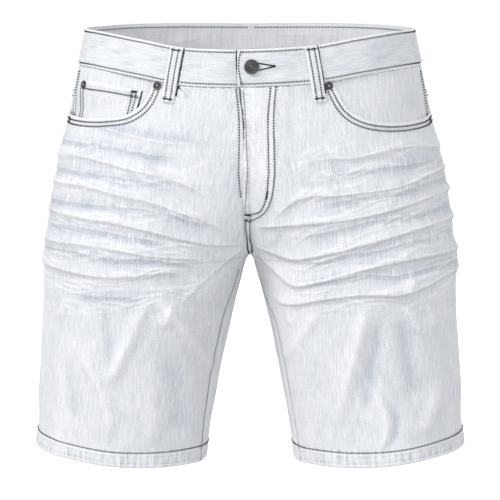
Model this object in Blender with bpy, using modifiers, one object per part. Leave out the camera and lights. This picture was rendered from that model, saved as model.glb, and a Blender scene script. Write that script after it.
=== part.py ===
"""Five-pocket denim shorts, filled out as if worn, with nobody in them.

Metres, +Z up.  The front faces -Y and the wearer's left is +X.  The origin is the centre of
the waist opening, level with the waistband's top edge at the sides.

Each half of the garment is a tube: the waist oval at the top, and the leg oval at the bottom.
What lies on its own side of the middle is cloth, and the two halves meet in the rise seam.
A place on the cloth is (side, a, v): the side of the wearer, the distance along the cloth
from the middle or the inseam, and the drop below the waistband's top edge.
"""

import math

import bmesh
import bpy
import numpy as np
from mathutils import Vector

# ---------------------------------------------------------------- driving dimensions
CLOTH = 0.0014          # one layer of denim
SEAM_GAP = 0.0005       # between pieces that are sewn edge to edge
LAYER_GAP = 0.0005      # between a piece and the one that it lies on
BAND_DEPTH = 0.039
BAND_THICK = 0.0030     # the waistband is folded, so it has two layers
CROTCH_DROP = 0.245
HEM_DROP = 0.465
HEM_TURN = 0.0185       # the turned-up hem
HEM_INSIDE = CLOTH + 0.0008     # how deep the hem's turned-up layer lies
THIGH_DROP = 0.300      # the rows are closer above this than below it
LEFT, RIGHT = 1, -1

# Half of the garment in level sections: the outermost, foremost and rearmost points.
SECTION_COLUMNS = ("z", "side_x", "side_y", "front_x", "front_y", "back_x", "back_y", "inner_y")
SECTIONS = np.array((
    (0.020, 0.1735, 0.000, 0.000, -0.1155, 0.000, 0.1035, 0.000),
    (0.000, 0.1775, 0.000, 0.000, -0.1175, 0.000, 0.1070, 0.000),
    (-0.040, 0.1862, 0.000, 0.008, -0.1205, 0.008, 0.1180, 0.000),
    (-0.080, 0.1947, -0.001, 0.020, -0.1240, 0.024, 0.1300, -0.001),
    (-0.120, 0.2042, -0.002, 0.036, -0.1268, 0.040, 0.1385, -0.004),
    (-0.160, 0.2122, -0.003, 0.056, -0.1280, 0.060, 0.1420, -0.008),
    (-0.200, 0.2187, -0.004, 0.084, -0.1268, 0.086, 0.1385, -0.013),
    (-0.245, 0.2248, -0.004, 0.110, -0.1230, 0.110, 0.1280, -0.020),
    (-0.290, 0.2262, -0.003, 0.121, -0.1190, 0.121, 0.1180, -0.017),
    (-0.350, 0.2300, -0.002, 0.129, -0.1120, 0.130, 0.1070, -0.012),
    (-0.400, 0.2332, -0.001, 0.135, -0.1050, 0.136, 0.0990, -0.007),
    (-0.430, 0.2334, -0.001, 0.138, -0.1018, 0.139, 0.0962, -0.006),
    (-0.455, 0.2370, 0.000, 0.141, -0.1005, 0.142, 0.0950, -0.005),
    (-0.485, 0.2385, 0.000, 0.142, -0.1000, 0.143, 0.0945, -0.004),
))

# The tube's innermost line.  Above the crotch it is across the middle, where no cloth is cut.
INNER_LINE = np.array((  # z, x
    (0.020, -0.1735), (0.000, -0.1775), (-0.040, -0.1850), (-0.080, -0.1780), (-0.120, -0.1500),
    (-0.160, -0.1050), (-0.200, -0.0540), (-0.225, -0.0215), (-0.240, -0.0042), (-0.245, 0.0005),
    (-0.249, 0.0036), (-0.256, 0.0060), (-0.275, 0.0108), (-0.319, 0.0212), (-0.363, 0.0305),
    (-0.407, 0.0388), (-0.451, 0.0460), (-0.485, 0.0500),
))

HANDLE = 0.58           # how full the ovals are: 0.55 is an ellipse
SIDE_SEAM_W = 1.93      # where the side seam is round the oval: 2 is the outermost point
INSEAM_W = 0.22         # and the inseam: 0 is the innermost point
INSEAM_SETTLES = 0.08   # below the crotch, where the inseam reaches its place

# How far the waistband's top edge and the hem are raised, by the share of the way from the
# middle or the inseam to the side seam.
EDGE_SHARE = np.array((0.0, 0.12, 0.25, 0.45, 0.72, 1.0))
TOP_EDGE = {"front": np.array((-0.0222, -0.0215, -0.0192, -0.0112, -0.0037, -0.0007)),
            "back": np.array((0.0055, 0.0057, 0.0058, 0.0050, 0.0021, -0.0007))}
HEM_EDGE = {"front": np.array((-0.0070, -0.0052, -0.0043, -0.0017, 0.0060, 0.0095)),
            "back": np.array((-0.0070, -0.0060, -0.0040, 0.0000, 0.0055, 0.0095))}
BAND_TILT = 0.0013      # the front of the band is this much lower on the right
RISE_TURNS = {"front": 0.140, "back": 0.150}    # the drop where the rise starts to curve under
FORK_SHARE = 0.5        # how much of a panel's width the curved rise pulls down

# The fly's folded edge, and the right front's edge under it: drop, x.
FLY_EDGE = ((0.039, -0.0114), (0.053, -0.0106), (0.069, -0.0084), (0.098, -0.0069),
            (0.135, -0.0071), (0.177, -0.0067), (0.202, -0.0039), (0.222, -0.0017), (0.233, 0.0))
FLY_UNDERLAP = 0.004
FLY_WIDTH = 0.0285
FLY_END_DROP = 0.188
FLY_COLUMNS = (0.0, 0.05, 0.10, 0.145, 0.19, 0.25, 0.31)      # shares of a front's width
FLY_LIFT = CLOTH + 0.0009
FLY_CORNER = 0.028      # how far up its lower end the fly facing is rounded
FLY_FACING_END = 0.004  # the facing's width at its lower end
FLY_SHIELD_DEPTH = CLOTH + 0.0012
FLY_SHIELD_REACH = (-0.026, 0.020)      # towards the right and the left
FLY_SHIELD_SHORTER = 0.012              # than the fly facing

# The front pockets' mouths: how far they are below the waist seam, by the angle round them
# as a share of a right angle, from where they begin in the waist seam to the side seam.
MOUTH_ANGLE = np.array((0.0, 0.125, 0.25, 0.40, 0.55, 0.70, 0.85, 1.0))
MOUTH = {LEFT: np.array((0.0, 0.0095, 0.0290, 0.0448, 0.0528, 0.0557, 0.0547, 0.0500)),
         RIGHT: np.array((0.0, 0.0140, 0.0288, 0.0418, 0.0482, 0.0523, 0.0530, 0.0515))}
MOUTH_DEPTH = 0.0557
MOUTH_BEGINS = {LEFT: 0.3735, RIGHT: 0.4442}    # the share of the front's width
FACING_UNDER = 0.012    # how far the facing goes on behind the front
FACING_DEPTH = CLOTH + 0.0009

# Creases: (side, x0, z0) to (x1, z1) as seen from the front or back, with the bow of the
# line, its height and its half width.
CREASE_COLUMNS = ("x0", "z0", "x1", "z1", "bow", "height", "half_width")
FRONT_CREASES = np.array((
    (-0.175, -0.099, -0.060, -0.119, 0.001, 0.0016, 0.008),
    (-0.222, -0.134, -0.045, -0.168, 0.008, 0.0024, 0.009),
    (-0.225, -0.162, 0.000, -0.220, 0.011, 0.0026, 0.009),
    (-0.228, -0.195, 0.000, -0.226, 0.006, 0.0028, 0.009),
    (-0.232, -0.226, -0.050, -0.243, 0.005, 0.0026, 0.009),
    (-0.232, -0.252, -0.055, -0.257, -0.005, 0.0024, 0.009),
    (0.230, -0.114, 0.040, -0.143, 0.002, 0.0018, 0.008),
    (0.240, -0.138, 0.030, -0.180, -0.005, 0.0028, 0.009),
    (0.245, -0.165, 0.000, -0.203, -0.006, 0.0030, 0.009),
    (0.250, -0.193, 0.030, -0.242, 0.002, 0.0034, 0.009),
    (0.250, -0.227, 0.030, -0.273, 0.003, 0.0034, 0.009),
    (0.250, -0.248, 0.025, -0.293, -0.009, 0.0036, 0.010),
    (-0.140, -0.300, -0.165, -0.470, 0.004, 0.0022, 0.022),
    (-0.085, -0.290, -0.115, -0.440, -0.004, 0.0018, 0.020),
    (0.110, -0.300, 0.080, -0.450, 0.004, 0.0030, 0.020),
    (0.160, -0.310, 0.185, -0.460, -0.004, 0.0024, 0.022),
    (0.045, -0.240, 0.110, -0.330, 0.006, 0.0020, 0.014),
    (-0.045, -0.245, -0.105, -0.325, -0.006, 0.0018, 0.014),
))
BACK_CREASES = np.array((
    (-0.215, -0.205, -0.030, -0.243, 0.010, 0.0026, 0.012),
    (-0.220, -0.245, -0.045, -0.268, 0.006, 0.0024, 0.012),
    (-0.220, -0.283, -0.060, -0.300, -0.004, 0.0020, 0.012),
    (0.215, -0.212, 0.028, -0.240, 0.008, 0.0026, 0.012),
    (0.220, -0.250, 0.045, -0.272, 0.006, 0.0026, 0.012),
    (0.220, -0.290, 0.060, -0.303, -0.004, 0.0018, 0.012),
    (-0.120, -0.310, -0.150, -0.465, 0.004, 0.0024, 0.022),
    (0.125, -0.315, 0.150, -0.465, -0.004, 0.0024, 0.022),
))
CREASE_TURNS = (-0.020, 0.045)      # the depth y over which front creases give way to back ones

# Belt loops: side, x at the top and at the bottom for the front ones.
LOOP_WIDTH = 0.0137
LOOP_THICK = 0.0018
LOOP_STAND_OFF = 0.0012
LOOP_TOP = 0.0015       # how far a loop begins below the band's top edge
LOOP_TAIL = 0.0205      # how far it reaches below the band
FRONT_LOOPS = {"belt_loop_front_left": (LEFT, 0.0624, 0.0728),
               "belt_loop_front_right": (RIGHT, -0.0755, -0.0862)}
SIDE_LOOP_BEHIND_SEAM = 0.041

BACK_COLUMNS = 14
YOKE_DROP_SIDE, YOKE_DROP_MIDDLE = 0.064, 0.104
BACK_POCKET = {"from_middle": 0.100, "top": 0.112, "height": 0.150, "point": 0.016,
               "half_top": 0.070, "half_bottom": 0.062}
COIN_POCKET = {"side": 0.0335, "inner": 0.1193, "drop_side": 0.0145, "drop_inner": 0.0125,
               "bottom": 0.070}
POCKET_LIFT = 0.0018

BAND_OVER_END_X = -0.0130       # the end that laps over, and the end under it
BAND_UNDER_END_X = 0.030
BAND_STEP = 0.0017              # each end moves this far off the band's own line
BUTTON = {"x": 0.0018, "drop": 0.0185, "radius": 0.0078, "head": 0.0032, "shank": 0.0026}
BUTTONHOLE = {"eyelet": 0.0036, "slit": 0.0012, "end": 0.0145}
RIVET_RADIUS, RIVET_HEIGHT = 0.0044, 0.0014
RIVET_DROP = 0.0435
RIVET_DISTANCE = {LEFT: 0.0828, RIGHT: 0.0983}

DENIM = {"colour": (0.80, 0.83, 0.88), "roughness": 0.9, "metallic": 0.0}
METAL = {"colour": (0.09, 0.09, 0.085), "roughness": 0.45, "metallic": 1.0}


# ---------------------------------------------------------------- small mathematics
def smooth(low, high, x):
    """0 below low and 1 above high, with a smooth step between them."""
    t = np.clip((x - low) / (high - low), 0.0, 1.0)
    return t * t * (3.0 - 2.0 * t)


def spline(knots, values, x):
    """A cubic through the values at the knots, which may rise or fall."""
    if knots[0] > knots[-1]:
        knots, values = knots[::-1], values[::-1]
    slopes = np.gradient(values, knots)
    x = np.clip(x, knots[0], knots[-1])
    i = np.clip(np.searchsorted(knots, x) - 1, 0, len(knots) - 2)
    span = knots[i + 1] - knots[i]
    t = (x - knots[i]) / span
    return ((1 + 2 * t) * (1 - t) ** 2 * values[i] + t * (1 - t) ** 2 * span * slopes[i]
            + t * t * (3 - 2 * t) * values[i + 1] + t * t * (t - 1) * span * slopes[i + 1])


def grid_value(table, row, column):
    """A table's value at a place between its rows and columns."""
    i = np.clip(row.astype(int), 0, table.shape[0] - 2)
    j = np.clip(column.astype(int), 0, table.shape[1] - 2)
    r, c = row - i, column - j
    return ((table[i, j] * (1 - c) + table[i, j + 1] * c) * (1 - r)
            + (table[i + 1, j] * (1 - c) + table[i + 1, j + 1] * c) * r)


# ---------------------------------------------------------------- the form
def oval(z):
    """The innermost, foremost, outermost and rearmost points of a tube's section, x and y."""
    c = {name: spline(SECTIONS[:, 0], SECTIONS[:, k], z)
         for k, name in enumerate(SECTION_COLUMNS)}
    inner = np.stack([spline(INNER_LINE[:, 0], INNER_LINE[:, 1], z), c["inner_y"]], -1)
    return (inner, np.stack([c["front_x"], c["front_y"]], -1),
            np.stack([c["side_x"], c["side_y"]], -1), np.stack([c["back_x"], c["back_y"]], -1))


def tube(w, z):
    """The point of the left tube that is w quarters round from its innermost line, at height z."""
    points = np.stack(oval(z), 0)
    quarter = np.floor(w).astype(int)
    t = (w - quarter)[..., None]
    place = np.arange(z.size).reshape(z.shape)
    flat = points.reshape(4, -1, 2)
    start = flat[quarter % 4, place]
    end = flat[(quarter + 1) % 4, place]
    reach = (end - start) * HANDLE
    along_y = (quarter % 2 == 0)[..., None]
    first = start + np.where(along_y, reach * (0, 1), reach * (1, 0))
    second = end - np.where(along_y, reach * (1, 0), reach * (0, 1))
    xy = ((1 - t) ** 3 * start + 3 * (1 - t) ** 2 * t * first
          + 3 * (1 - t) * t * t * second + t ** 3 * end)
    return np.concatenate([xy, z[..., None]], -1)


def middle_w(part, z):
    """Where a level section of the front or back crosses the middle, in quarters round."""
    low, high = np.zeros_like(z), np.ones_like(z)
    for _ in range(26):
        mid = (low + high) / 2
        inside = tube(mid if part == "front" else 4 - mid, z)[..., 0] < SEAM_GAP / 2
        low, high = np.where(inside, mid, low), np.where(inside, high, mid)
    return high


def start_w(part, z):
    """Where the front or back begins round the tube: on the rise above the crotch, and on
    the inseam below it."""
    turned = INSEAM_W * smooth(0.0, INSEAM_SETTLES, -CROTCH_DROP - z)
    crossing = middle_w(part, z)
    if part == "front":
        return np.where(z > -CROTCH_DROP, crossing, turned)
    return np.where(z > -CROTCH_DROP, 4 - crossing, 4 + turned)


def height(part, q, v):
    """The height of the cloth's row v at the share q of the way from the middle to the side."""
    top = spline(EDGE_SHARE, TOP_EDGE[part], q)
    hem = spline(EDGE_SHARE, HEM_EDGE[part], q)
    level = (-v + top * (1 - smooth(BAND_DEPTH, CROTCH_DROP, v))
             + hem * smooth(CROTCH_DROP, HEM_DROP, v))
    turns = RISE_TURNS[part]
    angle = np.clip((v - turns) / (CROTCH_DROP - turns), 0.0, 1.0) * math.pi / 2
    edge = -turns - (CROTCH_DROP - turns) * np.sin(angle)
    under = smooth(turns, turns + 0.02, v) * (v < CROTCH_DROP)
    return level + (edge - level) * under * (1 - smooth(0.0, FORK_SHARE, q))


def cloth_w(part, q, v):
    """The place round the tube, and the height, of the share q of row v."""
    z = height(part, q, v)
    begin = start_w(part, z)
    return begin + (SIDE_SEAM_W - begin) * q, z


class Panel:
    """The front or the back of one half, measured along the cloth."""

    ROWS, COLUMNS = 241, 97
    LONGEST = HEM_DROP + 0.01

    def __init__(self, part):
        self.part = part
        v, q = np.meshgrid(np.linspace(0, self.LONGEST, self.ROWS),
                           np.linspace(0, 1, self.COLUMNS), indexing="ij")
        points = tube(*cloth_w(part, q, v))
        steps = np.linalg.norm(np.diff(points, axis=1), axis=2)
        along = np.concatenate([np.zeros((self.ROWS, 1)), np.cumsum(steps, axis=1)], 1)
        self.widths = along[:, -1]
        self.shares = np.stack([np.interp(q[0], row / row[-1], q[0]) for row in along])

    def width(self, v):
        """How wide the cloth is at drop v, from the middle or the inseam to the side seam."""
        return np.interp(v, np.linspace(0, self.LONGEST, self.ROWS), self.widths)

    def place(self, a, v):
        """The place round the tube, and the height, at distance a and drop v."""
        share = np.clip(np.abs(a) / self.width(v), 0.0, 1.0)
        q = grid_value(self.shares, v / self.LONGEST * (self.ROWS - 1),
                       share * (self.COLUMNS - 1))
        return cloth_w(self.part, q, v)

    def point(self, side, a, v, lift=0.0):
        """The point at distance a and drop v of that side, lifted off the form, with creases."""
        a, v, lift = np.broadcast_arrays(np.asarray(a, float), v, lift)
        w, z = self.place(a, v)
        here, step = tube(w, z), 1e-4
        outward = np.cross(tube(w + step, z) - tube(w - step, z),
                           tube(w, z + step) - tube(w, z - step))
        outward /= np.linalg.norm(outward, axis=-1, keepdims=True)
        own = np.where(a < 0, -side, side)
        flipped = np.stack([own, np.ones_like(own), np.ones_like(own)], -1)
        here, outward = here * flipped, outward * flipped
        here = here + outward * (lift + crease(here))[..., None]
        here[..., 2] += tilt(here)
        return here

    def distance(self, side, x, v):
        """The distance along the cloth at which row v is at x."""
        a = np.linspace(0, 1, 200) * self.width(v)
        reached = np.abs(self.point(LEFT, a, np.full_like(a, v))[..., 0])
        rising = np.maximum.accumulate(reached)
        return math.copysign(np.interp(abs(x), rising, a), x * side)


def crease(points):
    """How far the creases lift the cloth off the form at these points."""
    x, y, z = points[..., 0], points[..., 1], points[..., 2]
    to_back = smooth(*CREASE_TURNS, y)
    total = np.zeros_like(x)
    for table, share in ((FRONT_CREASES, 1 - to_back), (BACK_CREASES, to_back)):
        for x0, z0, x1, z1, bow, tall, half in table:
            run = np.array((x1 - x0, z1 - z0))
            length = np.linalg.norm(run)
            t = ((x - x0) * run[0] + (z - z0) * run[1]) / length ** 2
            off = ((z - z0) * run[0] - (x - x0) * run[1]) / length * math.copysign(1, run[0])
            off = off - bow * 4 * t * (1 - t)
            ends = smooth(0.0, 0.22, t) * (1 - smooth(0.75, 1.0, t))
            total = total + share * tall * ends * np.exp(-(off / half) ** 2)
    return total


def tilt(points):
    """How far the front of the waist is raised on the left, and lowered on the right."""
    x, y, z = points[..., 0], points[..., 1], points[..., 2]
    across = np.sin(np.clip(x / 0.17, -1.0, 1.0) * math.pi)
    return BAND_TILT * across * smooth(0.0, -0.05, y) * smooth(-0.150, -0.060, z)


FRONT, BACK = Panel("front"), Panel("back")


# ---------------------------------------------------------------- building
def new_material(name, look):
    """A plain Principled material."""
    material = bpy.data.materials.new(name)
    material.use_nodes = True
    shader = material.node_tree.nodes["Principled BSDF"]
    shader.inputs["Base Color"].default_value = (*look["colour"], 1.0)
    shader.inputs["Roughness"].default_value = look["roughness"]
    shader.inputs["Metallic"].default_value = look["metallic"]
    material.diffuse_color = (*look["colour"], 1.0)
    return material


def finish_object(name, mesh, material):
    """Puts a mesh in the shorts' collection, smooth and with its material."""
    mesh.materials.append(material)
    mesh.shade_smooth()
    obj = bpy.data.objects.new(name, mesh)
    bpy.data.collections["denim_shorts"].objects.link(obj)
    return obj


def cloth(name, columns, rows, lay, thick, material, flip=False, outward=False):
    """A grid that lay(s, t) puts on the form, thickened inwards, or outwards from its place."""
    bm = bmesh.new()
    bmesh.ops.create_grid(bm, x_segments=columns, y_segments=rows, size=0.5)
    share = np.array([vert.co[:2] for vert in bm.verts])
    points = lay(share[:, 0] + 0.5, 0.5 - share[:, 1])
    for vert, point in zip(bm.verts, points):
        vert.co = point
    if flip:
        bmesh.ops.reverse_faces(bm, faces=bm.faces)
    mesh = bpy.data.meshes.new(name)
    bm.to_mesh(mesh)
    bm.free()
    obj = finish_object(name, mesh, material)
    wall = obj.modifiers.new("wall", "SOLIDIFY")
    wall.thickness = thick
    wall.offset = 1.0 if outward else -1.0
    wall.use_even_offset = True
    return obj


def spread(counts, stops):
    """A function from 0..1 to the stops, with that many equal steps between each two."""
    shares = np.cumsum([0, *counts]) / sum(counts)
    return lambda t: np.interp(t, shares, stops)


def lower_rows(first, counts, stops):
    """A function from 0..1 to the drops: the given counts of rows between the stops, and then
    the rows that all pieces share below the crotch."""
    places = spread((first, *counts, 6, 7, 1), range(len(counts) + 5))
    known = (*stops, CROTCH_DROP, THIGH_DROP, HEM_DROP - HEM_TURN, HEM_DROP)

    def drop(t, start):
        stage = places(t)
        return np.where(stage < 1, start + (known[0] - start) * stage,
                        np.interp(stage, range(1, len(known) + 1), known))
    return drop, first + sum(counts) + 14


# ---------------------------------------------------------------- fronts and backs
def fly_edge(side, v):
    """The x of a front's edge at the middle."""
    x = np.interp(v, [row[0] for row in FLY_EDGE], [row[1] for row in FLY_EDGE])
    under = FLY_UNDERLAP * (1 - smooth(FLY_END_DROP - 0.002, FLY_END_DROP + 0.012, v))
    return x if side == LEFT else x + under


def fly_lift(a, v):
    """How far the left front is raised over the fly's other layers."""
    across = 1 - smooth(FLY_WIDTH + 0.006, FLY_WIDTH + 0.018, a)
    down = 1 - smooth(FLY_END_DROP + 0.010, FLY_END_DROP + 0.032, v)
    return FLY_LIFT * across * down


def mouth_drop(side, share):
    """How far below the waist seam the pocket mouth is, by the share of the front's width."""
    from_side = np.clip((1 - share) / (1 - MOUTH_BEGINS[side]), 0.0, 1.0)
    return spline(MOUTH_ANGLE, MOUTH[side], np.arccos(from_side) / (math.pi / 2))


def front_columns(side):
    """The shares of a front's width at its columns, which are closest at the pocket mouth."""
    begins = MOUTH_BEGINS[side]
    angles = np.linspace(0, math.pi / 2, 10)[1:]
    return np.array((*FLY_COLUMNS, begins, *(1 - (1 - begins) * np.cos(angles))))


def front(side, material):
    """One front: cut away at the pocket mouth, and lapped at the fly."""
    columns = front_columns(side)
    drop, rows = lower_rows(6, (12,), (0.128,))

    def lay(s, t):
        share = np.interp(s, np.linspace(0, 1, len(columns)), columns)
        v = drop(t, BAND_DEPTH + SEAM_GAP + mouth_drop(side, share))
        whole = FRONT.width(v)
        start = np.where(v < CROTCH_DROP, side * fly_edge(side, v), 0.0) + SEAM_GAP / 2
        a = share * (whole - SEAM_GAP / 2)
        a += start * (1 - np.minimum(share / MOUTH_BEGINS[side], 1.0))
        lift = fly_lift(a, v) if side == LEFT else 0.0
        return FRONT.point(side, a, v, lift)

    return cloth("front_left" if side == LEFT else "front_right", len(columns) - 1, rows, lay,
                 CLOTH, material, flip=side == RIGHT)


def yoke_seam(share):
    """The drop of the yoke's lower edge, by the share of the way from the middle to the side."""
    return YOKE_DROP_MIDDLE + (YOKE_DROP_SIDE - YOKE_DROP_MIDDLE) * share


def back(side, material):
    """One back, from the yoke seam to the hem."""
    drop, rows = lower_rows(3, (12,), (BACK_POCKET["top"],))

    def lay(s, t):
        v = drop(t, yoke_seam(s) + SEAM_GAP / 2)
        a = SEAM_GAP / 2 + s * (BACK.width(v) - SEAM_GAP)
        return BACK.point(side, a, v)

    return cloth("back_left" if side == LEFT else "back_right", BACK_COLUMNS, rows, lay, CLOTH,
                 material, flip=side == LEFT)


def yoke(side, material):
    """The yoke between the waistband and the back."""
    def lay(s, t):
        top = BAND_DEPTH + SEAM_GAP
        v = top + t * (yoke_seam(s) - SEAM_GAP / 2 - top)
        a = SEAM_GAP / 2 + s * (BACK.width(v) - SEAM_GAP)
        return BACK.point(side, a, v)

    return cloth("yoke_left" if side == LEFT else "yoke_right", BACK_COLUMNS, 4, lay, CLOTH,
                 material, flip=side == LEFT)


# ---------------------------------------------------------------- pockets and the fly
def facing_lift(side, share, v):
    """How deep the facing lies: behind the front, and level with it away from the mouth."""
    layers = 2 if side == RIGHT else 1
    from_side = (1 - share) / (1 - MOUTH_BEGINS[side])
    down = (v - BAND_DEPTH) / np.maximum(mouth_drop(side, share), 0.001)
    radius = (np.abs(from_side) ** 4 + down ** 4) ** 0.25
    return -layers * FACING_DEPTH * smooth(0.45, 0.90, radius)


def facing(side, material):
    """The hip piece that shows in the pocket mouth."""
    begins = MOUTH_BEGINS[side]
    spare = 1 + FACING_UNDER / MOUTH_DEPTH

    def lay(s, t):
        angle = s * math.pi / 2
        share = 1 - (1 - begins) * 1.08 * np.cos(angle)
        deep = MOUTH_DEPTH * spare * np.clip(np.sin(angle), 0.12, 1.0) ** 0.8
        top = BAND_DEPTH + SEAM_GAP
        v = top + t * deep
        a = share * FRONT.width(v) - SEAM_GAP / 2
        return FRONT.point(side, a, v, facing_lift(side, share, v))

    return cloth("pocket_facing_left" if side == LEFT else "pocket_facing_right", 10, 7, lay,
                 CLOTH, material, flip=side == RIGHT)


def coin_pocket(material):
    """The small pocket on the right facing."""
    c = COIN_POCKET

    def lay(s, t):
        top = BAND_DEPTH + c["drop_side"] + (c["drop_inner"] - c["drop_side"]) * s
        v = top + t * (BAND_DEPTH + c["bottom"] - top)
        a = FRONT.width(v) - (c["side"] + (c["inner"] - c["side"]) * s)
        share = a / FRONT.width(v)
        lift = facing_lift(RIGHT, share, v) + LAYER_GAP + CLOTH
        return FRONT.point(RIGHT, a, v, lift)

    return cloth("coin_pocket", 8, 7, lay, CLOTH, material)


def back_pocket(side, material):
    """The patch pocket on a back, with a pointed lower edge."""
    p = BACK_POCKET
    level = CROTCH_DROP - (CROTCH_DROP - p["top"]) / 6
    down = spread((10, 4), (0.0, 1.0, 2.0))

    def lay(s, t):
        across = 2 * s - 1
        stage = down(t)
        lowest = p["top"] + p["height"] - p["point"] * np.abs(across)
        v = np.where(stage < 1, p["top"] + (level - p["top"]) * stage,
                     level + (lowest - level) * (stage - 1))
        half = p["half_top"] + (p["half_bottom"] - p["half_top"]) * t
        return BACK.point(side, p["from_middle"] + across * half, v, POCKET_LIFT)

    return cloth("back_pocket_left" if side == LEFT else "back_pocket_right", 10, 14, lay,
                 CLOTH, material, flip=side == LEFT, outward=True)


def fly_facing(material):
    """The layer behind the left front that the curved stitching holds."""
    def lay(s, t):
        top = BAND_DEPTH + SEAM_GAP
        v = top + t * (FLY_END_DROP - top)
        start = fly_edge(RIGHT, v) + SEAM_GAP
        corner = np.clip((v - FLY_END_DROP) / FLY_CORNER + 1, 0.0, 1.0)
        narrow = start + FLY_FACING_END
        end = narrow + (FLY_WIDTH - narrow) * np.sqrt(1 - 0.98 * corner ** 2)
        return FRONT.point(LEFT, start + s * (end - start), v)

    return cloth("fly_facing", 4, 12, lay, CLOTH, material)


def fly_shield(material):
    """The strip that closes the fly from inside."""
    def lay(s, t):
        top = BAND_DEPTH + SEAM_GAP
        v = top + t * (FLY_END_DROP - FLY_SHIELD_SHORTER - top)
        right, left = FLY_SHIELD_REACH
        return FRONT.point(LEFT, right + s * (left - right), v, -FLY_SHIELD_DEPTH)

    return cloth("fly_shield", 5, 10, lay, CLOTH, material)


# ---------------------------------------------------------------- waistband
def band_way():
    """The waistband's places from the under end to the over end: panel, side, distance, lift."""
    front_width, back_width = FRONT.width(0.0), BACK.width(0.0)
    under, over = -BAND_UNDER_END_X, BAND_OVER_END_X
    way = [(FRONT, RIGHT, a) for a in np.linspace(under, 0.030, 8)]
    way += [(FRONT, RIGHT, a) for a in np.linspace(0.030, front_width, 12)[1:]]
    way += [(BACK, RIGHT, a) for a in np.linspace(back_width, 0, 15)[1:]]
    way += [(BACK, LEFT, a) for a in np.linspace(0, back_width, 15)[1:]]
    way += [(FRONT, LEFT, a) for a in np.linspace(front_width, 0.055, 10)[1:]]
    way += [(FRONT, LEFT, a) for a in np.linspace(0.055, over, 10)[1:]]
    return way


def band_lift(panel, side, a):
    """How far the band's outer face is off the form: out at the over end, in at the other."""
    lift = BAND_THICK / 2
    if panel is FRONT and side == LEFT:
        lift += BAND_STEP * (1 - smooth(0.032, 0.050, a))
    if panel is FRONT and side == RIGHT:
        lift -= (BAND_STEP + LAYER_GAP - 0.0002) * (1 - smooth(0.012, 0.034, a))
    return lift


def waistband(material):
    """The waistband: a strip that goes round once and laps over itself at the front."""
    way = band_way()
    rows = 3

    def lay(s, t):
        index = np.rint(s * (len(way) - 1)).astype(int)
        points = np.empty((len(s), 3))
        for k, (i, drop) in enumerate(zip(index, t * BAND_DEPTH)):
            panel, side, a = way[i]
            points[k] = panel.point(side, a, drop, band_lift(panel, side, a))
        return points

    band = cloth("waistband", len(way) - 1, rows, lay, BAND_THICK, material, flip=True)
    cut = band.modifiers.new("buttonhole", "BOOLEAN")
    cut.operation = "DIFFERENCE"
    cut.object = buttonhole_cutter()
    return band


def over_band(x, drop, lift=0.0):
    """A point on the outer face of the band's over end."""
    a = FRONT.distance(LEFT, x, drop)
    return FRONT.point(LEFT, a, drop, BAND_THICK / 2 + BAND_STEP + lift)


def buttonhole_cutter():
    """The keyhole that the button's shank comes through, with its slit towards the left."""
    b, hole = BUTTON, BUTTONHOLE
    curve = bpy.data.curves.new("buttonhole_outline", "CURVE")
    curve.dimensions = "2D"
    curve.fill_mode = "BOTH"
    curve.extrude = BAND_THICK * 0.75
    angles = np.linspace(math.radians(25), math.radians(335), 14)
    outline = [(hole["eyelet"] * math.cos(t), hole["eyelet"] * math.sin(t)) for t in angles]
    outline += [(hole["end"], -hole["slit"] / 2), (hole["end"], hole["slit"] / 2)]
    spline_points = curve.splines.new("POLY")
    spline_points.points.add(len(outline) - 1)
    for point, (x, y) in zip(spline_points.points, outline):
        point.co = (x, y, 0.0, 1.0)
    spline_points.use_cyclic_u = True
    guide = bpy.data.objects.new("buttonhole_guide", curve)
    bpy.data.collections["cutters"].objects.link(guide)
    centre = over_band(b["x"], b["drop"], -BAND_THICK / 2)
    guide.location = centre
    guide.rotation_euler = (math.pi / 2, 0.0, 0.0)
    bpy.context.view_layer.update()
    graph = bpy.context.evaluated_depsgraph_get()
    mesh = bpy.data.meshes.new_from_object(guide.evaluated_get(graph))
    mesh.transform(guide.matrix_world)
    bpy.data.objects.remove(guide)
    bm = bmesh.new()
    bm.from_mesh(mesh)
    bmesh.ops.remove_doubles(bm, verts=bm.verts, dist=1e-6)
    bmesh.ops.recalc_face_normals(bm, faces=bm.faces)
    bm.to_mesh(mesh)
    bm.free()
    cutter = bpy.data.objects.new("buttonhole_cutter", mesh)
    bpy.data.collections["cutters"].objects.link(cutter)
    cutter.hide_render = True
    cutter.display_type = "WIRE"
    return cutter


# ---------------------------------------------------------------- belt loops
def loop_lift(drop):
    """How far a belt loop's inner face is off the form: tacked at both ends, and free
    between them."""
    on_band = BAND_THICK / 2 + LAYER_GAP
    free = LOOP_STAND_OFF * smooth(0.0, 0.010, drop) * (1 - smooth(0.028, BAND_DEPTH, drop))
    below = smooth(BAND_DEPTH + 0.001, BAND_DEPTH + 0.009, drop)
    return (on_band + free) * (1 - below) + LAYER_GAP * below


def belt_loop(name, panel, side, a_top, a_bottom, material, flip, rise=0.0):
    """A belt loop along the cloth, from the band's top edge to below the band."""
    long = BAND_DEPTH + LOOP_TAIL - LOOP_TOP
    rows = (0.0, 0.006, 0.012, 0.020, 0.027, 0.033, 0.039, 0.0435, 0.048, 0.053, long)

    def lay(s, t):
        drop = LOOP_TOP + np.interp(t, np.linspace(0, 1, len(rows)), rows)
        a = a_top + (a_bottom - a_top) * drop / long + (s - 0.5) * LOOP_WIDTH
        return panel.point(side, a, drop, loop_lift(drop) + rise)

    return cloth(name, 2, len(rows) - 1, lay, LOOP_THICK, material, flip=flip, outward=True)


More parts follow.
